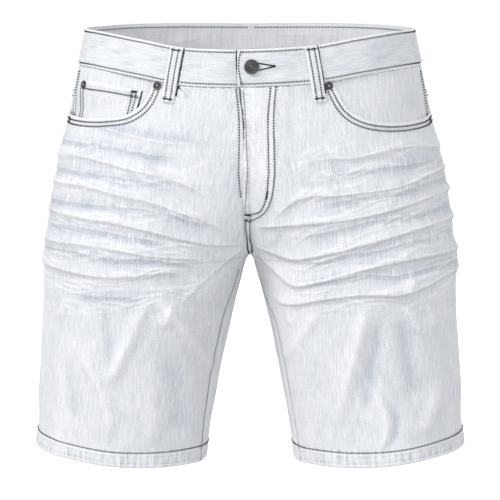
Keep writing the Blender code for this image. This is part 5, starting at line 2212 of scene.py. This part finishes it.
    def pocket_stitched(self, side: Side) -> list[Way]:
        """The stitched lines of a patch pocket.

        Args:
            side: The wearer's side.
        Returns:
            The lines.
        """
        a, v = self.pocket_place(np.linspace(0.02, 0.98, 20), np.full(20, 0.0))
        return [self.pocket_line(side, 0.0022), self.pocket_line(side, 0.0078),
                row_of(BACK, side, a, v + 0.0030, self.pocket_lift),
                row_of(BACK, side, a, v + 0.0135, self.pocket_lift)]

    def pocket(self, side: Side) -> None:
        """Makes one patch pocket.

        Args:
            side: The wearer's side.
        """
        s, t = shares(*self.pocket_size, 66, 72)
        a, v = self.pocket_place(s, t)
        top = row_of(BACK, side, a[3, 3:-3:4], v[3, 3:-3:4] + 0.001, self.pocket_lift)
        strips = [Strip(self.pocket_line(side, 0.0012), 0.0022),
                  Strip(self.pocket_line(side, 0.0050), 0.0026, 0.6), Strip(top, 0.0024)]
        on_panel(Cut(side.of("back_pocket"), (0.142, 0.152), self.finishes), BACK, side, a, v,
                 border(s, t, *self.pocket_size), Seams(strips, self.pocket_stitched(side)),
                 self.pocket_lift - CLOTH / 2, self.weave_begins + 2.0)


# ------------------------------------------------------------------ waistband
@dataclass(frozen=True)
class OnBand(Way):
    """A line on a face of the waistband."""

    inside: bool = False

    def depth(self, a: Array, v: Array) -> Array | float:
        """How far the band's face is off the form."""
        return Waistband.face(self.panel, self.side, a, v) - BAND_THICK * self.inside

    def laid(self, pitch: float) -> tuple[Array, Array]:
        """The line on the band, and the directions away from it."""
        points, away = super().laid(pitch)
        return points, -away if self.inside else away


@dataclass
class Waistband:
    """The folded strip that goes round once and laps over itself at the button."""

    finishes: Finishes
    pitch: float = 0.0023
    over_end: float = -0.0130
    under_end: float = -0.030
    rows: tuple[float, float] = (0.0029, 0.0361)
    inner_row: float = 0.0042
    end_row: Points = mm(-9.8, 4.5, -11.2, 11, -11.6, 19, -10.8, 26, -8.8, 35.2)
    # the keyhole's lines of close thread, with the length of their threads
    buttonhole: tuple[tuple[Points, float], ...] = (
        (mm(8.5, 15, 12, 15.7, 18, 17, 24.8, 18.3), 0.0017),
        (mm(8.5, 22.2, 12, 21.6, 18, 20.4, 24.8, 18.9), 0.0017),
        (mm(25.2, 17.4, 25.2, 19.8), 0.0018))
    STEP = 0.0017

    @classmethod
    def face(cls, panel: Panel, side: Side, a: Array, drop: Array) -> Array:
        """How far the band's outer face is off the form, with the swell between its rows.

        Args:
            panel: The panel.
            side: The wearer's side.
            a: Places along the cloth.
            drop: Drops from the upper edge of the waist.
        Returns:
            The lift, in metres.
        """
        lift = np.full(np.broadcast(a, drop).shape, BAND_THICK / 2)
        if panel is FRONT and side is Side.LEFT:
            lift = lift + cls.STEP * (1 - smooth(0.032, 0.050, a))
        if panel is FRONT and side is Side.RIGHT:
            lift = lift - (cls.STEP + LAYER_GAP - 0.0002) * (1 - smooth(0.012, 0.034, a))
        between = smooth(0.0022, 0.0065, drop) * (1 - smooth(0.0320, 0.0368, drop))
        phase = 0.9 * side.value + (1.7 if panel is BACK else 0.0)
        near_rows = bell(drop - 0.0050, 0.0050) + bell(drop - 0.0335, 0.0055)
        return lift + 0.00026 * between + (
            0.00013 * FoldMap.gathers(a, 0.0086, phase) * near_rows)

    def way(self) -> list[tuple[Panel, Side, Array]]:
        """The stretches of the band from its under end to its over end.

        Returns:
            The panel, the side and the places of each stretch, in order.
        """
        def places(start: float, end: float) -> Array:
            """Places along a stretch."""
            return np.linspace(start, end, int(abs(end - start) / self.pitch) + 2)
        front, back = float(FRONT.width(0.0)), float(BACK.width(0.0))
        near = bend(BAND_THICK / 2)
        under = np.concatenate([self.under_end + near[:-1],
                                places(self.under_end + near[-1], front)])
        over = np.concatenate([places(front, self.over_end + near[-1]),
                               (self.over_end + near[:-1])[::-1]])
        return [(FRONT, Side.RIGHT, under), (BACK, Side.RIGHT, places(back, 0.0)[1:]),
                (BACK, Side.LEFT, places(0.0, back)[1:]), (FRONT, Side.LEFT, over[1:])]

    def build(self) -> None:
        """Makes the band."""
        drops, depths = section(0.0, BAND_DEPTH, BAND_THICK / 2, (16, 9), 7)
        rings, runs, beside_loop = [], [], []
        length = 0.0
        for panel, side, a in self.way():
            a_grid, drop = a[:, None] + 0 * drops, drops + 0 * a[:, None]
            thin = 1.0
            if panel is FRONT:
                end = a - (self.under_end if side is Side.RIGHT else self.over_end)
                thin = 0.25 + 0.75 * arch(end, BAND_THICK / 2)[:, None]
            depth = BAND_THICK / 2 + (depths - BAND_THICK / 2) * thin
            face = self.face(panel, side, a_grid, drop)
            rings.append(panel.point(side, a_grid, drop, face - depth))
            beside_loop.append(BeltLoops.shaded(panel, side, a_grid, drop))
            steps = np.abs(np.diff(a, prepend=a[0]))
            runs.append(length + np.cumsum(steps) + (self.pitch if runs else 0.0))
            length = float(runs[-1][-1])
        along, drop = np.meshgrid(np.concatenate(runs), drops, indexing="ij")
        inside = (depths > BAND_THICK * 0.75) + 0.0 * drop
        # Painted shadow beside the belt loops and the band's lapped end.
        marks = {**unmarked(drop.shape), **self.wear(along, drop, length), "inside": inside,
                 "shade": np.where(depths < 0.001, 1.0 + np.concatenate(beside_loop), 1.02)}
        marks["blue"] = marks["blue"] * (1 - inside)
        cut = Cut("waistband", (round(length, 3), BAND_DEPTH), self.finishes)
        closed_strap(cut, np.concatenate(rings),
                     np.stack([drop + 0.05 * inside + 6.0, along], -1), marks)

    def wear(self, along: Array, drop: Array, length: float) -> dict[str, Array]:
        """The band's worn edges, its rows of thread and the blue between them.

        Args:
            along: Distances along the band.
            drop: Drops.
            length: The band's length.
        Returns:
            The marks.
        """
        end = np.abs(length - 0.0020 - along)
        off = np.minimum(np.minimum(*(np.abs(drop - row) for row in self.rows)), end)
        run = np.where(end < 0.003, drop, along)
        upper, lower = np.abs(drop - 0.0009) / 0.0021, np.abs(drop - 0.0378) / 0.0017
        strip_end = np.abs(length - along) / 0.0022
        across = np.minimum(np.minimum(upper, lower), strip_end)
        worn = np.where(strip_end < 1.0, 0.9, np.where(upper < lower, 1.0, 0.95))
        wrinkle = (np.sin(61 * along + 2.2 * np.sin(190 * drop) + 0.7)
                   * np.sin(230 * drop + 1.7 * np.sin(37 * along) + 0.4)
                   + 0.6 * np.sin(143 * along - 410 * drop + 2.0))
        between = smooth(0.004, 0.008, drop) * (1 - smooth(0.031, 0.035, drop))
        return {"blue": np.clip(0.22 + 0.42 * wrinkle, 0.0, 1.0) * between,
                "strip": np.stack([run, across, worn], -1),
                "thread": np.stack([run, off, np.full_like(run, 0.6)], -1)}

    def rows_of(self, drops: Sequence[float], inside: bool = False) -> list[OnBand]:
        """Rows of stitches on one of the band's faces, at some drops.

        Args:
            drops: How far down the band each row lies.
            inside: Whether they lie on the inner face.
        Returns:
            The rows.
        """
        return [OnBand(panel, side, [(x, drop) for x in
                                     np.linspace(min(a) + 0.0022, max(a), 60)], 0.0, inside)
                for panel, side, a in self.way() for drop in drops]


# ------------------------------------------------------------------ belt loops
@dataclass(frozen=True)
class LoopPlace:
    """Where a belt loop is: its panel and side, and its middle at the top and the bottom."""

    name: str
    panel: Panel
    side: Side
    a_top: float
    a_bottom: float
    rise: float = 0.0

    def middle(self, share: Array | float) -> Array | float:
        """The loop's middle at a share of its length."""
        return self.a_top + (self.a_bottom - self.a_top) * share


@dataclass(frozen=True)
class OnLoop(Way):
    """A line on the face of a belt loop."""

    rise: float = 0.0

    def depth(self, a: Array, v: Array) -> Array | float:
        """How far the loop's face is off the form."""
        return BeltLoops.inner_lift(v) + BeltLoops.THICK + self.rise


@dataclass
class BeltLoops:
    """The five belt loops, tacked at the band's top edge and below the band."""

    finishes: Finishes
    row_inset: float = 0.0038
    corner: float = 0.0020
    WIDE, THICK, STAND_OFF, TOP, TAIL = 0.0137, 0.0018, 0.0012, 0.0015, 0.0205
    LOWEST = BAND_DEPTH + TAIL
    LONG = LOWEST - TOP
    BESIDE = WIDE / 2 + 0.0009          # from a loop's middle to the painted shadow beside it
    BEHIND_SEAM = 0.041
    FRONT_X = {Side.LEFT: (0.0624, 0.0728), Side.RIGHT: (-0.0755, -0.0862)}

    @classmethod
    def inner_lift(cls, drop: Array) -> Array:
        """How far a loop's inner face is off the form: tacked at both ends, free between.

        Args:
            drop: Drops from the upper edge of the waist.
        Returns:
            The lift, in metres.
        """
        on_band = BAND_THICK / 2 + LAYER_GAP
        free = cls.STAND_OFF * smooth(0.0, 0.010, drop) * (1 - smooth(0.028, BAND_DEPTH, drop))
        below = smooth(BAND_DEPTH + 0.001, BAND_DEPTH + 0.009, drop)
        return (on_band + free) * (1 - below) + LAYER_GAP * below

    @classmethod
    def places(cls, panel: Panel | None = None, side: Side | None = None) -> list[LoopPlace]:
        """The five loops, or those on one panel.

        Args:
            panel: The panel, or none for every loop.
            side: The wearer's side, if a panel is given.
        Returns:
            The loops' places.
        """
        rows = [LoopPlace(one.of("belt_loop_front"), FRONT, one,
                          *(FRONT.distance(one, x, drop) for x, drop in
                            zip(cls.FRONT_X[one], (0.0, cls.LOWEST)))) for one in Side]
        rows += [LoopPlace(one.of("belt_loop_side"), BACK, one,
                           *(float(BACK.width(drop)) - cls.BEHIND_SEAM for drop in
                             (0.0, cls.LOWEST))) for one in Side]
        rows.append(LoopPlace("belt_loop_back", BACK, Side.LEFT, 0.0, 0.0, 0.0002))
        return [row for row in rows
                if panel is None or (row.panel is panel and row.side is side)]

    @classmethod
    def shaded(cls, panel: Panel, side: Side, a: Array, drop: Array) -> Array:
        """The signed distance to the painted shadow beside the nearest loop or the band's lapped
        end.

        Args:
            panel: The panel that the cloth hangs from.
            side: The wearer's side.
            a: Distances from the middle.
            drop: Drops.
        Returns:
            The distances.
        """
        off = [np.full(np.broadcast(a, drop).shape, 0.02)]
        for place in cls.places(panel, side):
            middle = place.middle((drop - cls.TOP) / cls.LONG)
            off.append(a - (middle + side.value * cls.BESIDE))
        if panel is FRONT and side is Side.RIGHT:
            # Painted shadow beside the band's over end, on the layer under it.
            lap = a + Waistband.over_end - 0.0007 + 0.0012 * smooth(0.014, 0.030, drop)
            off.append(np.where(drop < BAND_DEPTH, lap, 0.05))
        return closest(off)

    def line(self, place: LoopPlace, across: float, start: float, end: float) -> OnLoop:
        """A line down a loop.

        Args:
            place: The loop.
            across: The distance from its middle line.
            start: Where the line starts, as a share of the loop's length.
            end: Where it ends.
        Returns:
            The line.
        """
        share = np.linspace(start, end, 24)
        return OnLoop(place.panel, place.side, list(zip(place.middle(share) + across,
                                                        self.TOP + share * self.LONG)),
                      0.0, place.rise)

    def tack(self, place: LoopPlace, share: float) -> OnLoop:
        """The line of a bar across a loop.

        Args:
            place: Where the loop is.
            share: The share of the way down the loop.
        Returns:
            The line of the bar.
        """
        middle, drop = place.middle(share), self.TOP + share * self.LONG
        reach = self.WIDE / 2 - 0.0016
        return OnLoop(place.panel, place.side, [(middle - reach, drop), (middle + reach, drop)],
                      0.0002, place.rise)

    def build(self, place: LoopPlace) -> None:
        """Makes one loop.

        Args:
            place: Where the loop is.
        """
        long, r, half = self.LONG, self.THICK / 2, self.WIDE / 2
        ends = bend(r, 5)
        down = eased(np.linspace(ends[-1], long - ends[-1], 50), long, ends)[:, None]
        across, depths = section(-half, half, r, (15, 15), 7)
        high = r - depths
        thin = arch(np.minimum(down, long - down), r) * 0.9 + 0.1
        narrow = 1 - self.corner / half * (1 - arch(long - down, self.corner))
        drop = self.TOP + down + 0 * across
        a = place.middle(down / long) + across * narrow
        crown = 0.00030 * (1 - (across / half) ** 2) * (high > 0)
        lift = (self.inner_lift(drop) + r + place.rise + high * thin
                + crown + 0.00010 * np.sin(drop * 900 + across * 300) * (high > 0))
        from_middle = np.abs(across) + 0 * drop
        off = np.where(high > 0, np.abs(from_middle - (half - self.row_inset)), 0.02)
        edge = np.abs(from_middle - half + 0.0014) / 0.0019
        one = np.ones_like(drop)
        marks = {**unmarked(drop.shape), "strip": np.stack([drop, edge, 0.95 * one], -1),
                 "thread": np.stack([drop, off, one], -1)}
        closed_strap(Cut(place.name, (self.WIDE, long), self.finishes),
                     place.panel.point(place.side, a, drop, lift),
                     np.stack([a + 8.0, -drop], -1), marks)


# ------------------------------------------------------------------ hems
@dataclass
class Hems:
    """The turned-up layer inside each leg."""

    finishes: Finishes
    inside: float = CLOTH + 0.0008

    def build(self, side: Side) -> None:
        """Makes one hem.

        Args:
            side: The wearer's side.
        """
        v, depth = section(HEM_DROP - HEM_TURN, HEM_DROP, CLOTH / 2, (9, 9), 6)
        rings = []
        for panel, share in ((FRONT, np.linspace(0.0, 1.0, 110)),
                             (BACK, np.linspace(1.0, 0.0, 150)[1:-1])):
            drop = v + 0 * share[:, None]
            out = 0.0007 * smooth(HEM_DROP - 0.003, HEM_DROP, drop)
            rings.append(panel.point(side, share[:, None] * panel.width(drop), drop,
                                     -self.inside - depth + out))
        rings = np.concatenate(rings)
        run, drop = np.meshgrid(travelled(rings[:, 0]), v, indexing="ij")
        one = np.ones_like(drop)
        marks = {**unmarked(drop.shape),
                 "strip": np.stack([run, np.abs(drop - 0.4640) / 0.003, 0.8 * one], -1),
                 "thread": np.stack([run, np.abs(drop - 0.4482), one], -1)}
        cut = Cut(side.of("hem"), (round(float(run.max()), 3), HEM_TURN), self.finishes)
        closed_strap(cut, rings, np.stack([run + 9.0, -drop], -1), marks, True)


# ------------------------------------------------------------------ button and rivets
@dataclass(frozen=True)
class Turning:
    """A turned piece's face, and how bright it is rubbed.

    Both go by the share of its radius, in thousandths, from the rim in to the middle and from
    the middle out to the rim.
    """

    face: Points
    worn: Points
    segments: int

    def profile(self, radius: float, tall: float, foot: float = 0.0) -> list:
        """Radius and height of the face, from its foot up and in to the middle."""
        return [(radius * wide, foot + tall * high) for wide, high in self.face]


BUTTON = Turning(
    mm(800, 0, 930, 60, 985, 220, 1000, 440, 985, 660, 940, 840, 870, 960, 790, 1000, 730, 950,
       700, 840, 660, 800, 620, 840, 585, 890, 550, 840, 520, 740, 460, 660, 360, 620, 310, 680,
       265, 780, 220, 820, 180, 760, 140, 640, 80, 600, 20, 600),
    mm(0, 60, 140, 20, 200, 260, 280, 200, 360, 0, 500, 20, 585, 240, 640, 0, 720, 0, 800, 150,
       920, 120, 1000, 20), 72)
RIVET = Turning(
    mm(970, 0, 1000, 280, 985, 600, 930, 860, 850, 1000, 760, 980, 700, 800, 620, 620, 520, 600,
       470, 720, 420, 800, 370, 700, 330, 520, 280, 600, 240, 980, 180, 1180, 100, 1240,
       20, 1250),
    mm(0, 1000, 220, 950, 300, 50, 380, 50, 440, 160, 550, 20, 700, 30, 820, 220, 920, 120,
       1000, 20), 48)


@dataclass
class Hardware:
    """The shank button and the three rivets, with plain rings."""

    finishes: Finishes
    button_radius: float = 0.0078
    button_tall: float = 0.0032
    shank_radius: float = 0.0026
    button_x: float = 0.0018
    button_drop: float = 0.0185
    rivet_radius: float = 0.0044
    rivet_tall: float = 0.0014
    rivet_drop: float = 0.0435
    rivet_distance: dict[Side, float] = field(default_factory=lambda: {
        Side.LEFT: 0.0828, Side.RIGHT: 0.0983})

    def turned(self, name: str, profile: list, at: tuple[Array, Array], kind: Turning) -> None:
        """Makes a turned piece.

        Args:
            name: The node that it stands for.
            profile: Radius and height, from the foot up and in to the middle of the face.
            at: Where its foot is, and the direction of its axis.
            kind: How it is rubbed, and how many sides it has.
        """
        bpy.ops.object.select_all(action="DESELECT")
        bpy.ops.mesh.primitive_circle_add(vertices=kind.segments, radius=profile[0][0],
                                          fill_type="NGON", location=(0.0, 0.0, 0.0))
        piece = bpy.context.active_object
        bpy.ops.object.mode_set(mode="EDIT")
        bpy.ops.mesh.select_all(action="SELECT")
        for (wide, low), (next_wide, high) in zip(profile[:-1], profile[1:]):
            bpy.ops.mesh.extrude_region_move(
                TRANSFORM_OT_translate={"value": (0.0, 0.0, high - low)})
            ratio = next_wide / wide
            bpy.ops.transform.resize(value=(ratio, ratio, 1.0), center_override=(0.0, 0.0, 0.0))
        bpy.ops.mesh.merge(type="CENTER")
        bpy.ops.mesh.select_all(action="SELECT")
        bpy.ops.mesh.normals_make_consistent(inside=False)
        bpy.ops.object.mode_set(mode="OBJECT")
        piece.name = piece.data.name = f"{name}_metal"
        far = [math.hypot(*vert.co[:2]) / max(row[0] for row in profile)
               for vert in piece.data.vertices]
        column = piece.data.attributes.new("rubbed", "FLOAT", "POINT")
        column.data.foreach_set("value", np.interp(far, *zip(*kind.worn)).astype(np.float32))
        place, away = at
        turn = Vector(away).to_track_quat("Z", "Y").to_matrix().to_4x4()
        turn.translation = Vector(place)
        piece.data.transform(turn)
        piece.data.materials.append(self.finishes.metal)
        bpy.ops.object.shade_smooth_by_angle(angle=math.radians(50))
        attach(piece, "root")
        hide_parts(name)
        LOG.info("%s: %d faces", piece.name, len(piece.data.polygons))

    def button(self) -> None:
        """Makes the waist button."""
        under = BAND_THICK / 2 - Waistband.STEP - LAYER_GAP + 0.0002
        lip = BAND_THICK / 2 + Waistband.STEP - under + 0.0004
        a = FRONT.distance(Side.LEFT, self.button_x, self.button_drop)
        profile = [(self.shank_radius, 0.0), (self.shank_radius, lip),
                   *BUTTON.profile(self.button_radius, self.button_tall, lip)]
        self.turned("button", profile, FRONT.pin(Side.LEFT, a, self.button_drop,
                                                 under + 0.0003), BUTTON)

    def rivet(self, name: str, side: Side, a: float, v: float, lift: float = 0.0) -> None:
        """Makes one rivet."""
        self.turned(name, RIVET.profile(self.rivet_radius, self.rivet_tall),
                    FRONT.pin(side, a, v, lift + LAYER_GAP), RIVET)

    def build(self) -> None:
        """Makes the button and all rivets."""
        self.button()
        for side in Side:
            self.rivet(side.of("rivet"), side, self.rivet_distance[side], self.rivet_drop)
        v = BAND_DEPTH + HipFacings.coin_drops[0] + 0.0048
        a = float(FRONT.width(v)) - HipFacings.coin_side - 0.0065
        lift = float(HipFacings.coin_lift(np.array(a), np.array(v)))
        self.rivet("rivet_coin", Side.RIGHT, a, v, lift + 0.0003)


# ------------------------------------------------------------------ thread
@dataclass
class Stitching:
    """All rows of thread, one group for each part of the garment."""

    finishes: Finishes

    def fronts(self) -> None:
        """The pocket mouths, the fly and the crotch, the inseams and the hems."""
        sewing = Sewing("stitching_fronts", self.finishes.thread)
        for side in Side:
            sewing.rows(SeamPlan.mouth_rows(side))
            sewing.rows([SeamPlan.hem_row(FRONT, side)], wide=0.00170)
        sewing.rows([Way(FRONT, Side.RIGHT, Fly.UNDER_STITCH)])
        sewing.rows([Way(FRONT, Side.RIGHT, SeamPlan.INSEAM[Side.RIGHT])], wide=0.00140)
        sewing.rows([OnFly(FRONT, Side.LEFT, Fly.EDGE_STITCH)], wide=0.00110)
        sewing.rows([OnFly(FRONT, Side.LEFT, line) for line in
                     (Fly.INNER_CURVE, Fly.OUTER_CURVE, *Fly.CROTCH)])
        for bar, wide in Fly.BARS:
            sewing.tack(OnFly(FRONT, Side.LEFT, bar, 0.0004), wide)
        a = float(FRONT.width(0.098)) - 0.0180
        for side in Side:
            sewing.tack(Way(FRONT, side, ((a, 0.0945), (a, 0.1010)), 0.0011), 0.0042)
        sewing.finish()
        Sewing("stitching_inseam_left", self.finishes.pale_thread).rows(
            [Way(FRONT, Side.LEFT, SeamPlan.INSEAM[Side.LEFT])]).finish()

    def hips(self) -> None:
        """The hip facings and the coin pocket."""
        sewing = Sewing("stitching_hips", self.finishes.thread)
        sewing.rows([OnHip(FRONT, side, row) for side in Side for row in HipFacings.side_rows])
        sewing.rows([OnHip(FRONT, Side.RIGHT, row, 0.0002, True)
                     for row in HipFacings.coin_rows])
        sewing.tack(OnHip(FRONT, Side.RIGHT, mm(129.9, 54.9, 123.6, 54.5), 0.0006, True), 0.0026)
        sewing.finish()

    def backs(self, backs: BackPanels) -> None:
        """The yoke seams, the seat seam, the patch pockets and the hems at the back.

        Args:
            backs: The back panels.
        """
        sewing = Sewing("stitching_backs", self.finishes.thread)
        for side in Side:
            sewing.rows([*backs.stitched(side), *backs.pocket_stitched(side)])
            for s in (0.03, 0.97):
                a, v = backs.pocket_place(np.array(s), np.array(0.0))
                sewing.tack(Way(BACK, side, ((a, v + 0.001), (a, v + 0.0095)),
                                backs.pocket_lift + 0.0002))
        sewing.rows(backs.yoke_stitched(Side.LEFT)).finish()

    def band(self, band: Waistband) -> None:
        """The waistband's rows and its buttonhole.

        Args:
            band: The waistband.
        """
        sewing = Sewing("stitching_waistband", self.finishes.thread)
        sewing.rows([*band.rows_of(band.rows), OnBand(FRONT, Side.LEFT, band.end_row)])
        sewing.rows(band.rows_of([band.inner_row], True), 0.0037, 0.00150)
        for line, wide in band.buttonhole:
            sewing.tack(OnBand(FRONT, Side.LEFT, line), wide, 0.00042)
        sewing.finish()

    def loops(self, loops: BeltLoops) -> None:
        """The belt loops' rows and bars.

        Args:
            loops: The belt loops.
        """
        sewing = Sewing("stitching_loops", self.finishes.thread)
        inset = loops.WIDE / 2 - loops.row_inset
        for place in loops.places():
            sewing.rows([loops.line(place, across, 0.01, 0.97) for across in (-inset, inset)])
            for share in (0.045, 0.930):
                sewing.tack(loops.tack(place, share), 0.0017)
        sewing.finish()


# ------------------------------------------------------------------ studio
@dataclass
class Studio:
    """A pale floor, soft lights and the camera."""

    target: tuple[float, float, float] = (0.0, 0.0, -0.243)
    distance: float = 2.5
    raised: float = 5.5
    lens: float = 163.66
    floor: float = -0.60
    # each light's name, place, side in metres, power in watts and colour
    lights: tuple[tuple, ...] = (
        ("key", (-3.6, -3.0, 3.2), 1.7, 138.0, (1.0, 0.995, 0.985)),
        ("fill", (0.9, -2.7, -0.3), 2.2, 16.2, (0.985, 0.99, 1.0)),
        ("top", (0.0, -1.0, 2.1), 1.6, 3.0, (1.0, 1.0, 1.0)),
        ("rear", (0.6, 2.6, 1.2), 2.4, 17.0, (1.0, 1.0, 1.0)))

    def aimed(self, data: bpy.types.ID, where: Sequence[float]) -> Piece:
        """Places a camera or a light so that it points at the garment.

        Args:
            data: The camera or light.
            where: Where it stands.
        Returns:
            The placed object.
        """
        placed = bpy.data.objects.new(data.name, data)
        placed.location = where
        way = Vector(self.target) - Vector(where)
        placed.rotation_euler = way.to_track_quat("-Z", "Y").to_euler()
        bpy.context.scene.collection.objects.link(placed)
        return placed

    def camera(self) -> None:
        """Places the camera."""
        angle = math.radians(self.raised)
        camera = bpy.data.cameras.new("camera")
        camera.lens, camera.sensor_width = self.lens, 36.0
        camera.clip_start, camera.clip_end = 0.05, 60.0
        where = Vector(self.target) + self.distance * Vector((0.0, -math.cos(angle),
                                                              math.sin(angle)))
        bpy.context.scene.camera = self.aimed(camera, where)

    def ground(self) -> None:
        """Lays the floor."""
        bpy.ops.object.select_all(action="DESELECT")
        bpy.ops.mesh.primitive_plane_add(size=16.0, location=(0.0, 0.0, self.floor))
        plane = bpy.context.active_object
        plane.name = "floor"
        n = Nodes("pale_floor", Base_Color=(0.80, 0.80, 0.80, 1.0), Roughness=0.9,
                  Specular_IOR_Level=0.1, Emission_Color=(1.0, 1.0, 1.0, 1.0),
                  Emission_Strength=0.62)
        plane.data.materials.append(n.material)
        plane.visible_diffuse = False

    def surroundings(self) -> None:
        """A white world that gives a little even light."""
        world = bpy.data.worlds.new("studio")
        bpy.context.scene.world = world
        world.use_nodes = True
        tree = world.node_tree
        rays, mix = (tree.nodes.new(f"ShaderNode{kind}") for kind in ("LightPath", "Mix"))
        mix.data_type = "RGBA"
        mix.inputs[6].default_value = (0.66, 0.665, 0.675, 1.0)
        mix.inputs[7].default_value = (1.0, 1.0, 1.0, 1.0)
        tree.links.new(rays.outputs["Is Camera Ray"], mix.inputs[0])
        tree.links.new(mix.outputs[2], tree.nodes["Background"].inputs["Color"])
        bpy.context.scene.view_settings.view_transform = "Standard"

    def build(self) -> None:
        """Sets up everything."""
        self.camera()
        self.ground()
        self.surroundings()
        for name, where, wide, power, tint in self.lights:
            lamp = bpy.data.lights.new(name, "AREA")
            lamp.size, lamp.energy, lamp.color = wide, power, tint
            lamp.use_shadow = True
            self.aimed(lamp, where)


def main() -> None:
    """Builds the shorts and the studio."""
    logging.basicConfig(level=logging.INFO, format="%(name)s %(message)s")
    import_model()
    finishes = Finishes()
    Studio().build()
    fronts, facings = FrontPanels(finishes), HipFacings(finishes)
    fly, backs = FlyLayers(finishes), BackPanels(finishes)
    band, loops, hems = Waistband(finishes), BeltLoops(finishes), Hems(finishes)
    for side in Side:
        fronts.build(side)
        facings.facing(side)
        backs.back(side)
        backs.yoke(side)
        backs.pocket(side)
        hems.build(side)
    facings.coin_pocket()
    fly.facing()
    fly.shield()
    band.build()
    for place in loops.places():
        loops.build(place)
    Hardware(finishes).build()
    stitching = Stitching(finishes)
    stitching.fronts()
    stitching.hips()
    stitching.backs(backs)
    stitching.band(band)
    stitching.loops(loops)


if __name__ == "__main__":
    main()
